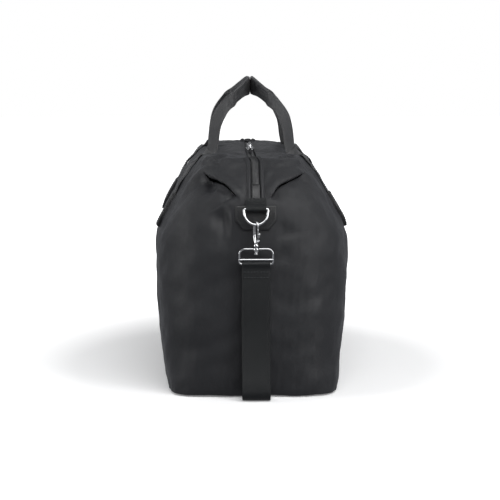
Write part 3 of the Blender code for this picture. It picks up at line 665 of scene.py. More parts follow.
def fold_profile(across, height, line):
    """Signed distance below a fold line, share of the way along it, and the direction away from it."""
    best = np.full(across.shape, 1e9)
    signed = np.zeros(across.shape)
    share = np.zeros(across.shape)
    away = np.zeros((*across.shape, 2))
    lengths = path_length(np.hstack((line, np.zeros((len(line), 1)))))
    for k, (start, end) in enumerate(zip(line, line[1:])):
        distance, local = away_from(across, height, start, end)
        nearer = distance < best
        direction = (end - start) / np.linalg.norm(end - start)
        below = np.array((direction[1], -direction[0]))
        side = np.sign((across - start[0]) * below[0] + (height - start[1]) * below[1])
        best = np.where(nearer, distance, best)
        signed = np.where(nearer, distance * side, signed)
        share = np.where(nearer, (lengths[k] + local * (lengths[k + 1] - lengths[k])) / lengths[-1], share)
        away = np.where(nearer[..., None], below, away)
    return signed, share, away


def drape(base, normal):
    """The bag's skin as it hangs: the plain skin with its folds, sags and wrinkles."""
    x, y, z = base[..., 0], base[..., 1], base[..., 2]
    turn = np.where(x < 0, 1.0, -1.0)
    across = y * turn
    at_end = smoothstep(0.150, 0.172, np.abs(x))
    on_face = smoothstep(0.190, 0.150, np.abs(x)) * smoothstep(0.050, 0.075, np.abs(y))
    on_roof = smoothstep(0.3140, 0.3180, z) * smoothstep(0.080, 0.070, np.abs(y))
    near_hardware = (smoothstep(0.042, 0.028, np.abs(y)) * smoothstep(0.185, 0.215, z)
                     * smoothstep(0.275, 0.262, z) * at_end)
    near_zip = smoothstep(0.020, 0.011, np.abs(y)) * smoothstep(0.262, 0.275, z)
    calm = 1.0 - np.clip(near_hardware + near_zip, 0.0, 1.0)

    out = np.zeros_like(x)
    slip = np.zeros((*x.shape, 2))
    for line, side, hollow, reach in ((LEFT_FOLD, 1.0, 0.0085, 0.016), (RIGHT_FOLD, -1.0, 0.0080, 0.012)):
        signed, share, away = fold_profile(across * side, z, line)
        strength = smoothstep(0.0, 0.16, share) * smoothstep(1.0, 0.82, share) * at_end * (across * side > 0)
        strength = strength * smoothstep(0.060, 0.030, np.abs(signed))
        lip = np.exp(-0.5 * ((signed + 0.0030) / 0.0042) ** 2)
        under = smoothstep(-0.0012, 0.0022, signed) * np.exp(-np.maximum(signed, 0.0) / reach)
        out += strength * (0.0030 * lip - hollow * under)
        over = np.exp(-0.5 * ((signed + 0.0012) / 0.0022) ** 2)
        tuck = np.exp(-0.5 * ((signed - 0.0030) / 0.0016) ** 2)
        slip += (strength * (0.0030 * over - 0.0012 * tuck))[..., None] * away * (side, 1.0)
    out += dents(across, z, END_FOLDS) * at_end * calm
    out += dents(x * np.sign(-y), z, FACE_FOLDS) * on_face
    out += dents(x, y, ROOF_FOLDS) * on_roof * calm
    puff = np.exp(-0.5 * ((np.abs(y) - 0.030) / 0.012) ** 2) * on_roof * smoothstep(0.150, 0.120, np.abs(x))
    out += 0.0026 * puff * (1.0 + 0.4 * np.sin(x / 0.030))
    out += 0.0016 * np.exp(-0.5 * ((z - 0.125) / 0.060) ** 2) * at_end
    slow = ripple(base, 0.085, 11) * 0.0007 + ripple(base, 0.034, 12) * 0.00028
    quick = ripple(base * (1.0, 1.0, 0.45), 0.014, 13) * 0.00013
    edge = smoothstep(0.060, 0.010, z) + smoothstep(0.26, 0.30, z)
    out += (slow + quick * (0.6 + edge)) * (0.25 + 0.75 * calm)
    sag = -0.0022 * np.exp(-((x / 0.105) ** 2)) * smoothstep(0.285, 0.318, z)

    moved = base + out[..., None] * normal
    shift = np.stack((np.zeros_like(x), slip[..., 0] * turn, slip[..., 1]), axis=-1)
    shift -= (shift * normal).sum(-1, keepdims=True) * normal
    moved += shift
    moved[..., 2] += sag
    return moved


def grid_normals(points):
    """Unit normals of a grid of points, turned away from the bag's middle."""
    normal = unit(np.cross(np.gradient(points, axis=1), np.gradient(points, axis=0)))
    outward = points * (0.2, 1.0, 1.0) - (0.0, 0.0, 0.15)
    facing = np.sign((normal * outward).sum(-1, keepdims=True))
    return normal * np.where(facing == 0, 1.0, facing)


def ring_point(c, s, face):
    """The plain skin: c from 0 at the near end's middle to 3 at the far end's, by way of the two corners."""
    z, a, b, n = station(s)
    bends = 60
    points = np.zeros((*c.shape, 3))
    angle_marks = (0.0, math.pi / 4, 3 * math.pi / 4, math.pi)
    for row in range(len(s)):
        for part in range(3):
            low, high = angle_marks[part], angle_marks[part + 1]
            angle = np.linspace(low, high, bends * (3 if part == 1 else 1))
            cosine, sine = np.cos(angle), np.sin(angle)
            x = -a[row] * np.sign(cosine) * np.abs(cosine) ** (2 / n[row])
            y = b[row] * np.abs(sine) ** (2 / n[row])
            along = np.concatenate(([0.0], np.cumsum(np.hypot(np.diff(x), np.diff(y)))))
            chosen = (c[row] >= part) & (c[row] <= part + 1)
            places = (c[row][chosen] - part) * along[-1]
            points[row, chosen, 0] = np.interp(places, along, x)
            points[row, chosen, 1] = face * np.interp(places, along, y)
        points[row, :, 2] = z[row]
    return points


def skin_rows(low, high, coarse, fine):
    """Station numbers about evenly spaced on the skin, closer together round the folds."""
    s = np.linspace(low, high, 2000)
    z, a, b, _ = station(s)
    step = np.hypot(np.gradient(z), 0.5 * (np.abs(np.gradient(a)) + np.abs(np.gradient(b))))
    pitch = coarse + (fine - coarse) * smoothstep(0.205, 0.225, z) * (s < 13.2)
    total = np.concatenate(([0.0], np.cumsum(step[1:] / pitch[1:])))
    return np.interp(np.linspace(0.0, total[-1], int(total[-1]) + 2), total, s)


def face_skin(x, s, face):
    """The draped skin on the front or rear, at grids of distance along the bag and station number."""
    z, a, b, n = station(s)
    base = np.stack((x, face * superellipse(x, a, b, n), z), axis=-1)
    return drape(base, grid_normals(base))


def end_skin(y, s, end):
    """The draped skin on an end, at grids of distance across the bag and station number."""
    z, a, b, n = station(s)
    base = np.stack((end * superellipse(y, b, a, n), y, z), axis=-1)
    return drape(base, grid_normals(base))


def mouth_share(points):
    """How far each point follows its side of the mouth rather than the shell."""
    return smoothstep(0.170, 0.300, points[:, 2]) * smoothstep(0.165, 0.105, np.abs(points[:, 0]))


def follow_mouth(obj):
    """Bake a piece's placement into its mesh and work out its mouth shares, which nothing stores."""
    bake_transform(obj)
    set_shares(obj, mouth_share)


def set_shares(obj, rule):
    """Work out a rule's shares for a piece's points; nothing stores them."""
    points = np.zeros(len(obj.data.vertices) * 3)
    obj.data.vertices.foreach_get("co", points)
    shares = rule(points.reshape(-1, 3))


# Shell


def make_shell():
    """The nylon skin, in a front and a rear half that meet under the strap hardware at each end."""
    end_columns, side_columns = 96, 132
    c = np.concatenate((np.linspace(0.0, 1.0, end_columns + 1), np.linspace(1.0, 2.0, side_columns + 1)[1:],
                        np.linspace(2.0, 3.0, end_columns + 1)[1:]))
    s = skin_rows(0.0, HEM_STATION, 0.0028, 0.0015)
    columns = np.repeat(c[None, :], len(s), axis=0)
    for face, word in FACE_NAMES.items():
        base = ring_point(columns, s, face)
        other = base * (1.0, -1.0, 1.0)
        whole = np.concatenate((other[:, 2:0:-1], base, other[:, -2:-4:-1]), axis=1)
        normal = grid_normals(whole)
        draped = drape(whole, normal)
        smooth_normals = grid_normals(draped)[:, 2:-2]
        points = draped[:, 2:-2]
        under = points[0] * (0.965, 0.95, 1.0)
        under[:, 2] = 0.0036
        points = np.concatenate((under[None], points))
        downward = np.broadcast_to((0.0, 0.0, -1.0), under.shape)
        smooth_normals = np.concatenate((downward[None], smooth_normals))
        piece = Piece()
        uv = shell_uv(points)
        piece.grid(points, uv, flip=face == REAR)
        obj = piece.finish(f"shell_{word}", [NYLON])
        obj.data.normals_split_custom_set_from_vertices(smooth_normals.reshape(-1, 3).tolist())
        end = NEAR if face == FRONT else FAR
        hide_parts(f"{word}_panel_lower", f"{word}_panel_upper",
                    f"end_panel_{END_NAMES[end]}", f"roof_end_{END_NAMES[end]}")
        follow_mouth(obj)


def shell_uv(points):
    """Cloth coordinates for half the skin, measured round it at mid height and up its side."""
    middle = np.argmin(np.abs(points[:, points.shape[1] // 2, 2] - 0.15))
    u = path_length(points[middle])
    v = path_length(points[:, points.shape[1] // 2])
    return np.stack(np.meshgrid(v, u, indexing="ij")[::-1], axis=-1)


# Patches


def laid_patch(skin, half_width, s_low, s_high, lift, thickness, rows=34, columns=30, margin=0.0030,
               centre=0.0):
    """A leather panel that lies on the skin, turns down at its edge and is stitched round.

    half_width gives the panel's half width at a share of the way up. skin maps (across, station) grids
    to points. margin is how far in from the edge the stitches run.
    """
    edge = 0.0011
    piece = Piece()
    share = edge_marks(1.0, 0.045, rows)
    across = edge_marks(2.0, 0.09, columns) - 1.0
    s = s_low + (s_high - s_low) * share
    half = np.array([half_width(t) for t in share])
    u = centre + across[None, :] * half[:, None]
    grid_s = np.repeat(s[:, None], len(across), axis=1)
    base = skin(u, grid_s)
    normal = grid_normals(base)
    rise = path_length(base[:, len(across) // 2])
    from_side = (1.0 - np.abs(across))[None, :] * half[:, None]
    from_end = np.minimum(rise, rise[-1] - rise)[:, None]
    near = np.clip(np.minimum(from_side, from_end) / edge, 0.0, 1.0)
    height = lift + thickness * np.sqrt(np.maximum(1.0 - (1.0 - near) ** 2, 0.0))
    top = base + height[..., None] * normal
    skirt = base - 0.0006 * normal
    skirt = np.concatenate((skirt[:1], skirt, skirt[-1:]))
    outer = np.concatenate((skirt[:1], top, skirt[-1:]))
    outer = np.concatenate((skirt[:, :1], outer, skirt[:, -1:]), axis=1)
    piece.grid(outer, flip=needs_flip(top, normal))
    line, looks = inset_outline(top, normal, from_side, rise, margin)
    piece.stitches(line, looks, 1)
    return piece


def edge_marks(length, border, count):
    """Marks from 0 to a length, with a few close together at each end."""
    close = np.array((0.0, 0.06, 0.22, 0.5, 1.0)) * border * length / 2.0
    inner = np.linspace(close[-1], length - close[-1], count)
    return np.concatenate((close[:-1], inner, length - close[-2::-1]))


def needs_flip(points, normals):
    """True if a grid's faces would look against its normals."""
    middle = (points.shape[0] // 2, points.shape[1] // 2)
    along = points[middle[0], middle[1] + 1] - points[middle]
    up = points[middle[0] + 1, middle[1]] - points[middle]
    return float(np.cross(along, up) @ normals[middle]) < 0


def inset_outline(top, normal, from_side, rise, inset):
    """A closed line on a panel, a set distance in from its edge, with normals."""
    columns = top.shape[1]
    low = int(np.argmin(np.abs(rise - inset)))
    high = int(np.argmin(np.abs(rise[-1] - rise - inset)))
    points, looks = [], []
    left, right = [], []
    for row in range(low, high + 1):
        places = from_side[row]
        half = columns // 2
        left.append((row, float(np.interp(inset, places[:half], np.arange(half)))))
        right.append((row, float(columns - 1 - np.interp(inset, places[::-1][:half], np.arange(half)))))
    route = [(low, c) for c in np.linspace(left[0][1], right[0][1], 14)[:-1]]
    route += right
    route += [(high, c) for c in np.linspace(right[-1][1], left[-1][1], 14)[1:-1]]
    route += left[::-1]
    for row, column in route:
        whole = min(int(column), columns - 2)
        part = column - whole
        points.append(top[row, whole] * (1 - part) + top[row, whole + 1] * part)
        looks.append(normal[row, whole] * (1 - part) + normal[row, whole + 1] * part)
    points.append(points[0])
    looks.append(looks[0])
    return np.array(points), unit(np.array(looks))


# Zip


def box_of(node):
    """The low and high corners of a CAD node's box, as arrays."""
    return [np.array(corner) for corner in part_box(node)]


def rides_mouth(piece, name, looks, node=None):
    """Finish a piece near the mouth, in place of the CAD node of its own or another name, and bake its
    placement.
    """
    obj = piece.finish(name, looks)
    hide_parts(node or name)
    follow_mouth(obj)


def rides(piece, name, looks, body):
    """Finish a piece that rides on one body, in place of the CAD node of its name."""
    obj = piece.finish(name, looks)
    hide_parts(name)
    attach(obj, body)


def station_of_width(half_width):
    """The roof's station number where the skin is this far from the zip."""
    s = np.linspace(14.0, ZIP_STATION, 400)
    return float(np.interp(-half_width, -station(s)[2], s))


def make_zip():
    """The zip's two halves on the mouth, coil side down, and the topstitching beside them."""
    x = np.linspace(-0.1586, 0.1586, 150)
    # One half's section, from the coil's edge outward: (distance from the middle, height above the skin)
    section = ((0.0003, -0.0036), (0.0003, -0.0016), (0.0005, -0.0011), (0.0012, -0.0008), (0.0026, -0.0008),
               (0.0040, -0.0010), (0.0050, -0.0016), (0.0055, -0.0026), (0.0062, -0.0030), (0.0135, -0.0034))
    tooth = 0.0012
    for face, word in FACE_NAMES.items():
        edge = face_skin(x, np.full(x.shape, float(ZIP_STATION)), face)
        edge[:, 1] = face * STATIONS[ZIP_STATION][2]
        rows = []
        for out, rise in section:
            row = edge.copy()
            row[:, 1] = face * out
            row[:, 2] += rise
            rows.append(row)
        points = np.stack(rows)
        piece = Piece()
        up = np.broadcast_to((0.0, 0.0, 1.0), points.shape)
        piece.grid(points, flip=needs_flip(points, up))
        coil_x = np.arange(-0.1560, 0.1560, 0.0003)
        coil = np.stack((coil_x, np.full(coil_x.shape, face * 0.0012),
                         np.interp(coil_x, x, edge[:, 2]) - 0.0028), axis=1)
        girth = 0.00085 + 0.00022 * np.sin(coil_x / tooth * math.tau)
        piece.tube(coil, girth, sides=8, slot=1)
        rides_mouth(piece, f"zip_half_{word}", [ZIP_TAPE, THREAD])

    for face, word in FACE_NAMES.items():
        piece = Piece()
        for out in (0.0092, 0.0122):
            line, normal = skin_line(x * 0.995, np.full(x.shape, station_of_width(out)), face)
            piece.stitches(line, normal, 0, length=0.0024, gap=0.0008, radius=0.00026)
        obj = piece.finish(f"zip_topstitch_{word}", [THREAD])
        follow_mouth(obj)


def skin_line(x, s, face):
    """Points and normals along a line on the front or rear skin."""
    step = 0.12
    rows = np.stack((s - step, s, s + step))
    points = face_skin(np.repeat(x[None], 3, 0), rows, face)
    return points[1], grid_normals(points)[1]


def make_zip_ends():
    """The closed lengths of zip that run down over the ridge to the strap tabs, between stitched welts."""
    # Half the section: the tape stands up in the middle, with a groove between it and the welt beside it.
    half = np.array((0.0004, 0.0020, 0.0038, 0.0048, 0.0053, 0.0056, 0.0060,
                     0.0063, 0.0068, 0.0080, 0.0105, 0.0116, 0.0124))
    rise = np.array((0.0027, 0.0026, 0.0023, 0.0019, 0.0010, 0.0001, 0.0001,
                     0.0012, 0.0023, 0.0028, 0.0024, 0.0012, -0.0008))
    across = np.concatenate((-half[::-1], half))
    height = np.concatenate((rise[::-1], rise))
    s = np.concatenate((np.linspace(8.28, 13.0, 84), np.linspace(13.1, 16.0, 16)))
    centre = END_CENTRE_Y * smoothstep(13.4, 11.6, s)
    fade = smoothstep(16.0, 13.6, s)
    for end, word in END_NAMES.items():
        grid_s = np.repeat(s[:, None], len(across), axis=1)
        narrow = np.where(s > 13.0, 1.0 - 0.42 * smoothstep(13.0, 16.0, s), 1.0)
        y = centre[:, None] + across[None, :] * narrow[:, None]
        base = end_skin(y, grid_s, end)
        normal = grid_normals(base)
        lift = height[None, :] * fade[:, None] - 0.0011 * (1.0 - fade[:, None])
        points = base + lift[..., None] * normal
        piece = Piece()
        flip = needs_flip(points, normal)
        tape = slice(6, 20)
        piece.grid(points[:, tape], slot=0, flip=flip)
        piece.grid(points[:, :7], slot=1, flip=flip)
        piece.grid(points[:, 19:], slot=1, flip=flip)
        for column in (2, 23):
            line = points[2:82, column]
            piece.stitches(line, normal[2:82, column], 2, length=0.0024, gap=0.0008, radius=0.00028)
        rides(piece, f"zip_end_{word}", [ZIP_TAPE, NYLON, THREAD], "shell")

        cap = laid_patch(lambda y, s, end=end: end_skin(y, s, end), lambda share: 0.0058, 8.36, 9.42,
                         0.0022, 0.0012, columns=12, rows=12, margin=0.0016, centre=END_CENTRE_Y)
        rides(cap, f"zip_cap_{word}", [LEATHER, THREAD], "shell")


def make_sliders():
    """The two sliders, head to head over the middle, each with a pull lying towards its end."""
    width, plate = 0.0118, 0.0026
    for end, word in END_NAMES.items():
        x = end * SLIDER_REST_X
        low, high = box_of(f"zip_slider_{word}")
        floor = low[2] - 0.0004
        top = floor + plate
        slider = Piece()
        outline = slider_outline(width, high[0] - low[0]) * (end, 1.0) + (x, 0.0)
        slider.layers(outline, (x, 0.0), ((floor, 0.82), (floor + 0.0006, 0.97), (top - 0.0009, 1.0),
                                          (top - 0.0002, 0.93), (top, 0.80)), flip=end < 0)
        bridge = ((0.0050, -0.0006), (0.0046, 0.0034), (0.0026, 0.0060))
        bridge = [(x - out, 0.0, top + rise) for out, rise in bridge] + [
            (x + out, 0.0, top + rise) for out, rise in bridge[::-1]]
        slider.tube(smooth_path(bridge, 6), 0.0017, sides=14, normal=(0.0, 1.0, 0.0), squash=1.3)
        rides(slider, f"zip_slider_{word}", [METAL], f"slider_{word}")

        low, high = box_of(f"zip_pull_{word}")
        z = (low[2] + high[2]) / 2 + 0.0007
        root = x - end * 0.0007
        eye, neck = 0.0041, 0.0076
        pull = Piece()
        ring = [(root + end * eye * (1.0 + math.cos(a)), 0.0036 * math.sin(a), z)
                for a in np.arange(28) / 28 * math.tau]
        pull.tube(ring, 0.00085, sides=12, closed=True, normal=(0.0, 0.0, 1.0), squash=0.9)
        blade = pull_outline(high[0] - low[0] - neck, (high[1] - low[1]) / 2)
        blade = blade * (end, 1.0) + (root + end * neck, 0.0)
        pull.layers(blade, blade.mean(0), ((z - 0.00075, 0.90), (z - 0.0005, 0.985), (z + 0.0005, 0.985),
                                           (z + 0.00075, 0.90)), flip=end < 0, closed_below=True)
        rides(pull, f"zip_pull_{word}", [METAL], f"pull_{word}")


def slider_outline(width, length):
    """A slider's plan: a broad rounded head towards the middle and a narrower tail."""
    half, reach = width / 2, length / 2
    points = ((reach, 0.0), (reach, half * 0.45), (reach * 0.80, half * 0.66), (0.0, half * 0.80),
              (-reach * 0.60, half), (-reach * 0.92, half * 0.86), (-reach, half * 0.35), (-reach, 0.0))
    upper = smooth_path(points, 5)
    return np.vstack((upper, upper[-2:0:-1] * (1.0, -1.0)))


def pull_outline(length, half):
    """A pull's plan: a narrow neck that widens to a rounded paddle."""
    points = ((0.0, 0.0), (0.0, half * 0.42), (length * 0.15, half * 0.50), (length * 0.45, half * 0.80),
              (length * 0.80, half), (length * 0.95, half * 0.82), (length, half * 0.30), (length, 0.0))
    lower = smooth_path(points, 5) * (1.0, -1.0)
    return np.vstack((lower, lower[-2:0:-1] * (1.0, -1.0)))


# Handles


def leg_x(s):
    """How far along the bag a handle leg's middle is, at a station number."""
    share = (LEG_TOP_STATION - s) / (LEG_TOP_STATION - LEG_BOTTOM_STATION)
    return LEG_X_TOP + (LEG_X_BOTTOM - LEG_X_TOP) * share


def leg_line(face, end, s, lift):
    """Points along a handle leg's middle, this far off the skin, and the skin's normals there."""
    across = np.array((-0.006, 0.0, 0.006))
    grid_s = np.repeat(s[:, None], 3, axis=1)
    base = face_skin(end * (leg_x(grid_s) + across[None, :]), grid_s, face)
    normal = grid_normals(base)[:, 1]
    return base[:, 1] + lift * normal, normal


HANDLE_HALF = (
    ((-0.0800, 0.0570, 0.3225), (-0.45, 0.88, 0.00)),
    ((-0.0800, 0.0536, 0.3340), (-0.57, 0.82, 0.08)),
    ((-0.0798, 0.0522, 0.3467), (-0.58, 0.81, 0.08)),
    ((-0.0793, 0.0500, 0.3590), (-0.60, 0.79, 0.12)),
    ((-0.0783, 0.0462, 0.3700), (-0.66, 0.70, 0.25)),
    ((-0.0768, 0.0405, 0.3804), (-0.72, 0.55, 0.42)),
    ((-0.0742, 0.0325, 0.3895), (-0.80, 0.20, 0.20)),
    ((-0.0700, 0.0235, 0.3975), (-0.76, -0.42, -0.45)),
    ((-0.0630, 0.0150, 0.4045), (-0.66, -0.60, -0.42)),
    ((-0.0520, 0.0080, 0.4098), (-0.45, -0.85, -0.20)),
    ((-0.0360, 0.0036, 0.4118), (-0.12, -0.99, 0.02)),
    ((0.0000, 0.0014, 0.4120), (0.00, -1.00, 0.00)),
)
HANDLE_ROOT_STATIONS = (10.9, 11.6, 12.2)
HANDLE_CURL = 0.26
HANDLE_CURL_Z = 0.3900


def make_handles():
    """Two twisted webbing handles, sewn down the shoulders and leaning together over the zip."""
    for face, word in FACE_NAMES.items():
        half = [(np.array(p) * (1.0, face, 1.0), np.array(n) * (1.0, face, 1.0)) for p, n in HANDLE_HALF]
        lead, looks = leg_line(face, NEAR, np.array(HANDLE_ROOT_STATIONS), 0.0017)
        near = list(zip(lead, looks)) + half
        mirror = np.array((-1.0, 1.0, 1.0))
        tail, tail_looks = leg_line(face, FAR, np.array(HANDLE_ROOT_STATIONS), 0.0017)
        far = [(p * mirror, n * mirror) for p, n in half[-2::-1]] + list(zip(tail, tail_looks))[::-1]
        points, normals = zip(*(near + far))
        path, looks = resample(smooth_path(points, 10), 300, smooth_path(normals, 10))
        piece = Piece()
        curl = HANDLE_CURL * np.exp(-0.5 * ((path[:, 2] - HANDLE_CURL_Z) / 0.0085) ** 2)
        piece.strip(path, looks, WEBBING_WIDTH, WEBBING_THICKNESS, cup=0.0005, curl=curl)
        obj = piece.finish(f"handle_{word}", [WEBBING])
        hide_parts(f"handle_{word}")
        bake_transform(obj)
        for end, end_word in END_NAMES.items():
            make_leg(face, word, end, end_word)


def make_leg(face, word, end, end_word):
    """One webbing leg sewn down the shoulder by a row of stitches on each side, and its leather patch."""
    line, looks = leg_line(face, end, np.linspace(LEG_BOTTOM_STATION, 11.4, 70), 0.0016)
    piece = Piece()
    piece.strip(line, looks, WEBBING_WIDTH, WEBBING_THICKNESS)
    tangents = unit(np.gradient(line, axis=0))
    across = unit(np.cross(tangents, looks))
    for side in (-1, 1):
        edge = line + across * side * (WEBBING_WIDTH / 2 - 0.0022) + looks * 0.0010
        piece.stitches(edge[26:], looks[26:], 1)
    rides_mouth(piece, f"handle_leg_{word}_{end_word}", [WEBBING, THREAD])

    def skin(across, s):
        """The skin on either side of the leg's middle."""
        return face_skin(end * (leg_x(s) + across), s, face)

    def half_width(share):
        """The patch's half width: narrower and rounded at its foot."""
        return 0.0170 * (1.0 - 0.42 * (1.0 - min(share / 0.30, 1.0)) ** 2)

    patch = laid_patch(skin, half_width, 5.6, 8.2, 0.0029, 0.0017)
    rides_mouth(patch, f"leg_patch_{word}_{end_word}", [LEATHER, THREAD])


# Strap and its hardware


def flat_route(points, end, per_span=6):
    """A smooth route in the upright plane along the bag, and its outward side.

    The points are (distance outward, height).
    """
    curve = smooth_path(points, per_span)
    path = np.column_stack((curve[:, 0] * end, np.full(len(curve), END_CENTRE_Y), curve[:, 1]))
    slope = np.gradient(curve, axis=0)
    looks = np.column_stack((-slope[:, 1] * end, np.zeros(len(curve)), slope[:, 0]))
    return path, unit(looks)


def shield_half_width(share):
    """The leather shield's half width at a share of the way up: cut in towards its foot."""
    return 0.0270 - 0.0095 * max(0.0, 1.0 - share / 0.36)


def make_ring_mounts():
    """The leather shield sewn to each end, and the webbing tab that holds the ring."""
    bar_x, bar_z = TAB_AXIS
    # The tab's top on the skin: (height, height to measure the skin at, distance off the skin)
    top = ((0.2712, 0.2710, 0.0022), (0.2690, 0.2690, 0.0028), (0.2660, 0.2660, 0.0036))
    wrap = [(bar_x + 0.0034 * math.cos(a), bar_z + 0.0034 * math.sin(a))
            for a in np.radians((48, 15, -20, -52, -84, -120, -150))]
    for end, word in END_NAMES.items():
        shield = laid_patch(lambda y, s, end=end: end_skin(y, s, end), shield_half_width,
                            station_at(0.2292), station_at(0.2613), 0.0003, 0.0021, centre=END_CENTRE_Y)
        rides(shield, f"ring_patch_{word}", [LEATHER, THREAD], "shell")

        y = np.full((3, 3), END_CENTRE_Y) + (-0.002, 0.0, 0.002)
        s = station_at(np.array([[level] * 3 for _, level, _ in top]))
        skin_x = abs(end_skin(y, s, end)[:, 1, 0])
        points = [(out + lift, height) for out, (height, _, lift) in zip(skin_x, top)]
        points += [*wrap, (bar_x - 0.0036, bar_z), (bar_x - 0.0038, bar_z + 0.0030)]
        path, looks = flat_route(points, end)
        tab = Piece()
        tab.strip(path, looks, 0.0270, 0.0016)
        step = [i for i, p in enumerate(path) if 0.2640 < p[2] and i < len(path) // 2]
        across = np.linspace(-0.0115, 0.0115, 12)
        for row in (step[len(step) // 2], step[-1]):
            line = path[row] + looks[row] * 0.0008 + across[:, None] * (0.0, 1.0, 0.0)
            tab.stitches(line, np.repeat(looks[row][None], len(line), 0), 1)
        rides(tab, f"ring_tab_{word}", [STRAP, THREAD], "shell")


def make_rings():
    """The D-rings: a straight bar in the tab and a bow that leans out from the shell."""
    for end, word in END_NAMES.items():
        down = np.array((end * math.sin(RING_TILT), 0.0, -math.cos(RING_TILT)))
        start = np.array((end * TAB_AXIS[0], END_CENTRE_Y, TAB_AXIS[1]))
        across = np.array((0.0, 1.0, 0.0))
        path = [start + across * y for y in np.linspace(RING_HALF_WIDTH * 0.86, -RING_HALF_WIDTH * 0.86, 12)]
        for angle in np.linspace(0.0, math.pi, 56):
            side = -RING_HALF_WIDTH * math.cos(angle)
            path.append(start + across * side + down * (RING_DROP * math.sin(angle) ** 0.8))
        path = np.array(path)
        closed = np.vstack((path, path[:1]))
        path = resample(closed, 97)[:-1]
        for _ in range(3):
            path = 0.5 * path + 0.25 * (np.roll(path, 1, axis=0) + np.roll(path, -1, axis=0))
        piece = Piece()
        piece.tube(path, RING_WIRE, sides=20, closed=True, normal=np.cross(down, across))
        rides(piece, f"d_ring_{word}", [METAL], f"ring_{word}")


# The hook's turned stem and collar, as (radius, height)
HOOK_STEM = (
    (0.0000, 0.1982), (0.0016, 0.1982), (0.0025, 0.1986), (0.0027, 0.1992), (0.0024, 0.1999),
    (0.0015, 0.2005), (0.0014, 0.2018), (0.0014, 0.2075), (0.0024, 0.2077), (0.0034, 0.2082),
    (0.0037, 0.2094), (0.0036, 0.2108), (0.0030, 0.2118), (0.0025, 0.2126), (0.0022, 0.2136),
    (0.0013, 0.2146), (0.0000, 0.2149),
)


def make_hooks():
    """The swivel hooks: a turned stem and collar, a tapering bow, and a sprung gate with a thumb lever."""
    for end, word in END_NAMES.items():
        foot = np.array((end * CLIP_X, END_CENTRE_Y, 0.0))
        back = np.array((-end * math.cos(HOOK_TURN), math.sin(HOOK_TURN), 0.0))
        up = np.array((0.0, 0.0, 1.0))
        flat = np.cross(back, up)

        def curve(points, per_span):
            """A smooth path through (distance from the stem, height) points in the hook's plane."""
            return smooth_path([foot + back * out + up * height for out, height in points], per_span)

        hook = Piece()
        hook.turned(HOOK_STEM, (foot[0], foot[1]), 32)
        outline = [(0.0000, 0.2114), (0.0014, 0.2138), (0.0032, 0.2168), (0.0048, 0.2206)]
        outline.append((HOOK_RADIUS, 0.2256))
        for i in range(13):
            angle = math.pi * i / 12
            outline.append((HOOK_RADIUS * math.cos(angle), HOOK_ARC_Z + HOOK_RADIUS * math.sin(angle)))
        outline.append((-HOOK_RADIUS, 0.2337))
        bow = curve(outline, 5)
        share = np.linspace(0.0, 1.0, len(bow))
        hook.tube(bow, np.interp(share, (0.0, 0.15, 0.4, 0.8, 1.0), (0.0024, 0.0021, 0.0017, 0.0015, 0.0014)),
                  sides=18, normal=flat)
        root = curve(((0.0, 0.2118), (-0.0024, 0.2142), (-0.0042, 0.2162)), 5)
        hook.tube(root, 0.0016, sides=14, normal=flat)
        pin = foot + back * -0.0046 + up * 0.2170
        hook.tube([pin - flat * 0.0020, pin, pin + flat * 0.0020], 0.0010, sides=14, normal=up)
        rides(hook, f"hook_{word}", [METAL], f"hook_{word}")

        gate = Piece()
        arm = curve(((-0.0046, 0.2170), (-0.0050, 0.2212), (-0.0053, 0.2268), (-0.0055, 0.2318)), 6)
        gate.tube(arm, 0.0011, sides=14, normal=flat)
        lever = curve(((-0.0050, 0.2208), (-0.0064, 0.2220), (-0.0080, 0.2242), (-0.0087, 0.2264)), 6)
        gate.tube(lever, np.interp(np.linspace(0, 1, len(lever)), (0.0, 0.5, 1.0), (0.0012, 0.0017, 0.0018)),
                  sides=14, normal=flat, squash=1.1)
        rides(gate, f"hook_gate_{word}", [METAL], f"gate_{word}")


def rounded_loop(half_width, low, high, low_radius, high_radius):
    """A closed rectangle of (across, height) points with rounded corners."""
    corners = (((1, high), high_radius, 0.0), ((-1, high), high_radius, 90.0), ((-1, low), low_radius, 180.0),
               ((1, low), low_radius, 270.0))
    points = []
    for (side, level), radius, start in corners:
        middle = (side * (half_width - radius), level - radius if level == high else level + radius)
        for angle in np.radians(start + np.linspace(0.0, 90.0, 8)):
            points.append((middle[0] + radius * math.cos(angle), middle[1] + radius * math.sin(angle)))
    return np.array(points)


def make_strap_loops():
    """The wire loops: the strap's bar, a cross bar above it, and a boss for the hook's stem."""
    for end, word in END_NAMES.items():
        foot = (end * CLIP_X, END_CENTRE_Y)
        outline = rounded_loop(LOOP_HALF_WIDTH, LOOP_BOTTOM, LOOP_TOP, 0.0028, 0.0072)
        path = np.column_stack((np.full(len(outline), foot[0]), foot[1] + outline[:, 0], outline[:, 1]))
        path = resample(np.vstack((path, path[:1])), 121)[:-1]
        loop = Piece()
        loop.tube(path, LOOP_WIRE, sides=18, closed=True, normal=(1.0, 0.0, 0.0))
        y = np.linspace(-LOOP_HALF_WIDTH, LOOP_HALF_WIDTH, 9)
        bar = np.column_stack((np.full(9, foot[0]), foot[1] + y, np.full(9, LOOP_BAR)))
        loop.tube(bar, 0.0015, sides=18, normal=(1.0, 0.0, 0.0))
        loop.turned(((0.0016, 0.2022), (0.0033, 0.2022), (0.0038, 0.2027), (0.0039, 0.2047), (0.0038, 0.2067),
                     (0.0033, 0.2072), (0.0016, 0.2072)), foot, 32)
        rides(loop, f"strap_loop_{word}", [METAL], f"clip_{word}")


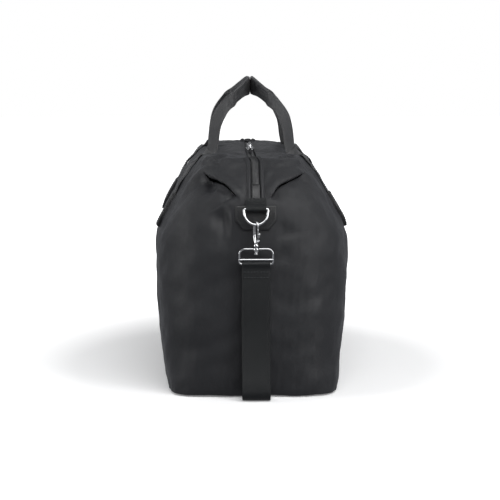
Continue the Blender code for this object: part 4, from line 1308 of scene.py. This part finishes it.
def strap_route(end):
    """The strap's middle line in one end's plane: (distance outward, height) points.

    It goes from inside its fold, round the loop's bar and down to the base.
    """
    bore = 0.0020 + STRAP_THICKNESS / 2
    back_end = 0.1560 if end == NEAR else STRAP_JOIN[FAR]
    fold = ((-0.00085, back_end), (-0.00085, 0.1680), (-0.00090, 0.1770), (-0.0014, 0.1812))
    turn = [(bore * math.cos(a), LOOP_BOTTOM + bore * math.sin(a))
            for a in np.radians((205, 170, 130, 90, 50, 10, -25))]
    front = ((0.0014, 0.1812), (0.00090, 0.1770), (0.00080, 0.1650), (0.0006, 0.1350))
    points = [(CLIP_X + out, height) for out, height in (*fold, *turn, *front)]
    return points + [
        (0.2356, 0.1050), (0.2368, 0.0750), (0.2400, 0.0450), (0.2440, 0.0220), (0.2445, 0.0095),
        (0.2400, 0.0030), (0.2310, STRAP_FLOOR_Z), (0.2180, STRAP_FLOOR_Z), (0.2090, STRAP_FLOOR_Z),
        (STRAP_BASE_X, STRAP_FLOOR_Z),
    ]


def make_straps():
    """The shoulder strap, clipped at both ends and passed under the base."""
    for end, word in END_NAMES.items():
        points = strap_route(end)
        if end == NEAR:
            points += [(x, STRAP_FLOOR_Z) for x in (0.10, 0.0, -0.10, -STRAP_BASE_X)]
        path, looks = flat_route(points, end, 8)
        sway = 0.0006 * np.sin(path[:, 2] / 0.055 + end) * smoothstep(0.16, 0.10, path[:, 2])
        path[:, 1] += sway * smoothstep(0.2, 0.23, np.abs(path[:, 0]))
        piece = Piece()
        piece.strip(path, looks, STRAP_WIDTH, STRAP_THICKNESS, cup=0.00025)
        front = [i for i in range(1, len(path)) if path[i, 2] < path[i - 1, 2] and abs(path[i, 0]) > CLIP_X]
        y = END_CENTRE_Y + np.linspace(-STRAP_WIDTH / 2 + 0.0022, STRAP_WIDTH / 2 - 0.0022, 16)
        for height in STRAP_STITCHES[end]:
            i = min(front, key=lambda k: abs(path[k, 2] - height))
            line = np.column_stack((np.full(16, path[i, 0]), y, np.full(16, height))) + looks[i] * 0.00095
            normals = np.repeat(looks[i][None], 16, 0)
            piece.stitches(line, normals, 1, length=0.0030, gap=0.0008, radius=0.00042)
        obj = piece.finish(f"strap_{word}", [STRAP, THREAD])
        nodes = [f"strap_end_{word}", f"strap_run_{word}"] + (["strap_under"] if end == NEAR else [])
        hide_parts(*nodes)
        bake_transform(obj)
        join = STRAP_JOIN[end]
        set_shares(obj, lambda points: smoothstep(join, 0.012, points[:, 2]))


def make_adjuster():
    """The metal slide that holds the strap's fold at the far end."""
    low, high = box_of("strap_adjuster")
    middle = (low + high) / 2
    half = (high - low) / 2 - 0.0006
    plan = rounded_loop(half[1], -half[0], half[0], 0.0024, 0.0024)
    plan = resample(np.vstack((plan, plan[:1])), 73)[:-1]
    side = unit(np.roll(plan, -1, axis=0) - np.roll(plan, 1, axis=0))
    outward = np.column_stack((side[:, 1], -side[:, 0]))
    rings = []
    for rise, out in band_section(2 * half[2], 0.0012, 0.5):
        ring = plan + outward * out
        rings.append(np.column_stack((middle[0] + ring[:, 1], middle[1] + ring[:, 0],
                                      np.full(len(plan), middle[2] + rise))))
    rings = np.stack(rings, axis=1)
    piece = Piece()
    piece.grid(rings, wrap_columns=True, wrap_rows=True)
    rides(piece, "strap_adjuster", [METAL], "adjuster")


# Base, lining and badge


def make_base():
    """The leather base panel, its board, and four domed feet."""
    low, high = box_of("base_panel")
    half = (high - low)[:2] / 2
    shares = np.array((1.0, 1.0, 0.996, 0.985, 0.96, 0.9, 0.8, 0.65, 0.5, 0.35, 0.2, 0.08, 0.002))
    heights = np.array((high[2], low[2] + 0.0012, low[2] + 0.0005, low[2] + 0.0001) + (low[2],) * 9)
    angle = np.arange(160) / 160 * math.tau
    cosine, sine = np.cos(angle), np.sin(angle)
    outline = np.column_stack((half[0] * np.sign(cosine) * np.abs(cosine) ** 0.4,
                               half[1] * np.sign(sine) * np.abs(sine) ** 0.4))
    rings = np.stack([np.column_stack((outline * k, np.full(160, z))) for k, z in zip(shares, heights)])
    piece = Piece()
    uv = np.concatenate((rings, rings[:, :1]), axis=1)[..., :2]
    piece.grid(rings, uv, wrap_columns=True, flip=True)
    line = np.column_stack((outline * 0.972, np.full(160, low[2])))
    line = np.vstack((line, line[:1]))
    piece.stitches(line, np.broadcast_to((0.0, 0.0, -1.0), line.shape), 1, length=0.0036, gap=0.0012)
    rides(piece, "base_panel", [LEATHER, THREAD], "shell")
    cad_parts["base_board"].data.materials[0] = BOARD

    for face_word in FACE_NAMES.values():
        for end_word in END_NAMES.values():
            name = f"foot_{face_word}_{end_word}"
            low, high = box_of(name)
            centre, radius = (low + high)[:2] / 2, (high - low)[0] / 2
            top = high[2]
            foot = Piece()
            foot.turned(((0.0, 0.0), (radius * 0.50, 0.00005), (radius * 0.72, 0.0002),
                         (radius * 0.88, 0.0006), (radius * 0.97, 0.0012), (radius, top - 0.0005),
                         (radius * 0.97, top)), centre, 40)
            rides(foot, name, [METAL], "shell")


def make_lining():
    """The lining: a tub below the mouth's hinge line, and a half above it on each side."""
    low, high = box_of("lining_tub")
    s = station_at(np.linspace(low[2] + 0.0004, high[2] + 0.0020, 70))
    c = np.concatenate((np.linspace(0, 1, 41), np.linspace(1, 2, 61)[1:], np.linspace(2, 3, 41)[1:]))
    columns = np.repeat(c[None], len(s), 0)
    tub = Piece()
    for face in FACE_NAMES:
        points = inside_skin(columns, s, face, 0.0050)
        floor = np.stack([points[0] * (k, k, 1.0) for k in (0.02, 0.3, 0.6, 0.85, 0.97)])
        points = np.concatenate((floor, points))
        tub.grid(points, flip=face == FRONT)
    rides(tub, "lining_tub", [LINING], "shell")

    s = np.linspace(5.02, 15.5, 80)
    columns = np.repeat(c[None], len(s), 0)
    for face, word in FACE_NAMES.items():
        half = Piece()
        half.grid(inside_skin(columns, s, face, 0.0040), flip=face == FRONT)
        rides_mouth(half, f"lining_{word}", [LINING], f"lining_flap_{word}")


def inside_skin(columns, s, face, inset):
    """The draped skin moved inwards, with the lining's own looseness."""
    base = ring_point(columns, s, face)
    normal = grid_normals(base)
    skin = drape(base, normal)
    loose = inset + 0.0006 + 0.0009 * ripple(base, 0.045, 31) ** 2 * 0.3
    return skin - loose[..., None] * normal


def make_inner_pocket():
    """The zipped pocket on the rear wall of the lining, with its zip and slider."""
    def skin(x, s):
        """The rear skin, which the pocket follows from inside."""
        return face_skin(x, s, REAR)

    half_length, bottom, height = 0.090, 0.055, 0.115
    x = edge_marks(2 * half_length, 0.03, 40) - half_length
    s = station_at(bottom + edge_marks(height, 0.05, 26))
    grid_x, grid_s = np.meshgrid(x, s)
    base = skin(grid_x, grid_s)
    inward = -grid_normals(base)
    rise = (base[..., 2] - bottom) / height * math.pi
    belly = (np.cos(grid_x / half_length * math.pi / 2) * np.sin(rise).clip(0)).clip(0)
    points = base + (0.0068 + 0.0016 * belly ** 0.5)[..., None] * inward
    pocket = Piece()
    pocket.grid(points, flip=needs_flip(points, inward))
    for row in (2, -3):
        pocket.stitches(points[row, 2:-2], inward[row, 2:-2], 1)
    for column in (2, -3):
        pocket.stitches(points[2:-2, column], inward[2:-2, column], 1)
    rides(pocket, "inner_pocket", [LINING, THREAD], "shell")

    # The zip's section: (height, distance inward from the skin)
    section = ((0.1480, 0.0080), (0.1484, 0.0090), (0.1512, 0.0092), (0.1519, 0.0086), (0.1521, 0.0086),
               (0.1528, 0.0092), (0.1556, 0.0090), (0.1560, 0.0080))
    x = np.linspace(-0.082, 0.082, 80)
    points = np.stack([skin(x, station_at(np.full(x.shape, level))) - (0.0, lift, 0.0)
                       for level, lift in section])
    strip = Piece()
    strip.grid(points, flip=needs_flip(points, np.broadcast_to((0.0, -1.0, 0.0), points.shape)))
    rides(strip, "inner_pocket_zip", [ZIP_TAPE], "shell")

    low, high = box_of("inner_pocket_slider")
    middle_x, zip_z = (low[0] + high[0]) / 2, 0.1520
    outline = slider_outline(high[0] - low[0] - 0.001, 0.0085)
    rings = []
    for inset, scale in ((0.0, 0.85), (0.0005, 1.0), (0.0022, 1.0), (0.0028, 0.8)):
        plan = outline * scale
        rings.append(np.column_stack((middle_x + plan[:, 1], np.full(len(plan), high[1] - inset),
                                      zip_z - plan[:, 0])))
    slider = Piece()
    slider.grid(np.stack(rings), wrap_columns=True)
    slider.fan(rings[-1], rings[-1].mean(0))
    y = low[1] + 0.0012
    pull = smooth_path(((middle_x, y + 0.0006, zip_z), (middle_x, y, 0.1480), (middle_x, y + 0.0002, 0.1400),
                        (middle_x, y + 0.0004, 0.1318)), 6)
    radii = np.interp(np.linspace(0, 1, len(pull)), (0, 0.3, 0.8, 1), (0.0009, 0.0011, 0.0018, 0.0016))
    slider.tube(pull, radii, sides=14, normal=(0.0, 1.0, 0.0), squash=0.4)
    rides(slider, "inner_pocket_slider", [METAL], "pocket_slider")


def make_badge():
    """The plain leather badge on the front."""
    corner, height = 0.004, 0.0425

    def half_width(share):
        """The badge's half width, rounded at its corners."""
        cut = max(0.0, corner - min(share, 1.0 - share) * height)
        return 0.030 - (corner - math.sqrt(max(corner ** 2 - cut ** 2, 0.0)))

    badge = laid_patch(lambda x, s: face_skin(x, s, FRONT), half_width, station_at(0.1620),
                       station_at(0.1620 + height), 0.0003, 0.0024, columns=36)
    rides(badge, "front_badge", [LEATHER, THREAD], "shell")


# Stage


CAMERA_PLACE = (-2.225, 0.050, 0.500)
CAMERA_TARGET = (-0.225, 0.005, 0.2030)
CAMERA_LENS = 109.6
SKY_LOW = (0.285, 0.29, 0.305)
SKY_HIGH = (0.33, 0.335, 0.335)
# Name, place, target, size in metres, and watts
LAMPS = (
    ("front_softbox", (-1.60, -0.50, 2.10), (0.0, 0.0, 0.15), (2.0, 1.6), 43.0),
    ("side_softbox", (-1.60, -2.10, 1.10), (-0.1, 0.0, 0.18), (1.0, 1.8), 34.0),
    ("left_softbox", (-0.60, 2.20, 0.90), (-0.1, 0.0, 0.25), (1.0, 1.4), 22.0),
    ("back_softbox", (2.00, 1.60, 1.60), (0.0, 0.0, 0.2), (1.6, 1.6), 2.0),
)


def make_stage():
    """A pale floor, a white surround that only the camera sees, soft lamps and the camera."""
    scene = bpy.context.scene
    floor_piece = Piece()
    xs = np.linspace(-6.0, 6.0, 13)
    points = np.stack((*np.meshgrid(xs, xs, indexing="ij"), np.zeros((13, 13))), axis=-1)
    floor_piece.grid(points)
    floor_look = Look("pale_floor", 0.75, Specular_IOR_Level=0.15)
    floor_look.colour(floor_look.noise(3.0, 2.0), 0.0, 1.0, (0.86, 0.86, 0.865), (0.90, 0.90, 0.905))
    floor_look.shader.inputs["Emission Color"].default_value = (1.0, 1.0, 1.0, 1.0)
    away = floor_look.node("ShaderNodeVectorMath", {0: floor_look.place}, operation="LENGTH")
    reach = away.outputs["Value"]
    floor_look.tree.links.new(floor_look.span(reach, 0.16, 1.00, 0.26, 0.60),
                              floor_look.shader.inputs["Emission Strength"])
    floor = floor_piece.finish("floor", [floor_look.material])
    floor.visible_diffuse = False
    floor.visible_glossy = False

    surround_piece = Piece()
    angles = np.linspace(-math.pi / 2, math.pi / 2, 25)
    profile = [(14.0 * math.cos(a) + 0.001, 14.0 * math.sin(a)) for a in angles]
    surround_piece.turned(profile, (0.0, 0.0), 48)
    surround_look = bpy.data.materials.new("surround")
    surround_look.use_nodes = True
    tree = surround_look.node_tree
    tree.nodes.clear()
    glow = tree.nodes.new("ShaderNodeEmission")
    glow.inputs["Strength"].default_value = 1.0
    output = tree.nodes.new("ShaderNodeOutputMaterial")
    tree.links.new(glow.outputs["Emission"], output.inputs["Surface"])
    surround = surround_piece.finish("surround", [surround_look])
    surround.visible_diffuse = False
    surround.visible_glossy = False
    surround.visible_shadow = False
    surround.visible_transmission = False

    world = bpy.data.worlds.new("soft_white")
    world.use_nodes = True
    tree = world.node_tree
    direction = tree.nodes.new("ShaderNodeTexCoord")
    split = tree.nodes.new("ShaderNodeSeparateXYZ")
    ramp = tree.nodes.new("ShaderNodeValToRGB")
    tree.links.new(direction.outputs["Generated"], split.inputs[0])
    tree.links.new(split.outputs["Z"], ramp.inputs["Fac"])
    tree.links.new(ramp.outputs["Color"], tree.nodes["Background"].inputs["Color"])
    ramp.color_ramp.elements[0].position = 0.22
    ramp.color_ramp.elements[0].color = (*SKY_LOW, 1.0)
    ramp.color_ramp.elements[1].position = 0.75
    ramp.color_ramp.elements[1].color = (*SKY_HIGH, 1.0)
    scene.world = world
    scene.view_settings.view_transform = "Standard"

    for settings in LAMPS:
        lamp(*settings)

    data = bpy.data.cameras.new("camera")
    data.lens = CAMERA_LENS
    data.sensor_width = 36.0
    data.clip_start = 0.05
    data.clip_end = 100.0
    camera = bpy.data.objects.new("camera", data)
    place_towards(camera, CAMERA_PLACE, CAMERA_TARGET)
    scene.collection.objects.link(camera)
    scene.camera = camera


def place_towards(obj, place, target):
    """Put a camera or lamp at a place, looking at a target."""
    obj.location = place
    obj.rotation_euler = (Vector(target) - Vector(place)).to_track_quat("-Z", "Y").to_euler()


def lamp(name, place, target, size, power):
    """A rectangular soft lamp."""
    data = bpy.data.lights.new(name, "AREA")
    data.shape = "RECTANGLE"
    data.size, data.size_y = size
    data.energy = power
    obj = bpy.data.objects.new(name, data)
    place_towards(obj, place, target)
    bpy.context.scene.collection.objects.link(obj)


make_shell()
make_zip()
make_zip_ends()
make_sliders()
make_handles()
make_ring_mounts()
make_rings()
make_hooks()
make_strap_loops()
make_straps()
make_adjuster()
make_base()
make_lining()
make_inner_pocket()
make_badge()
make_stage()
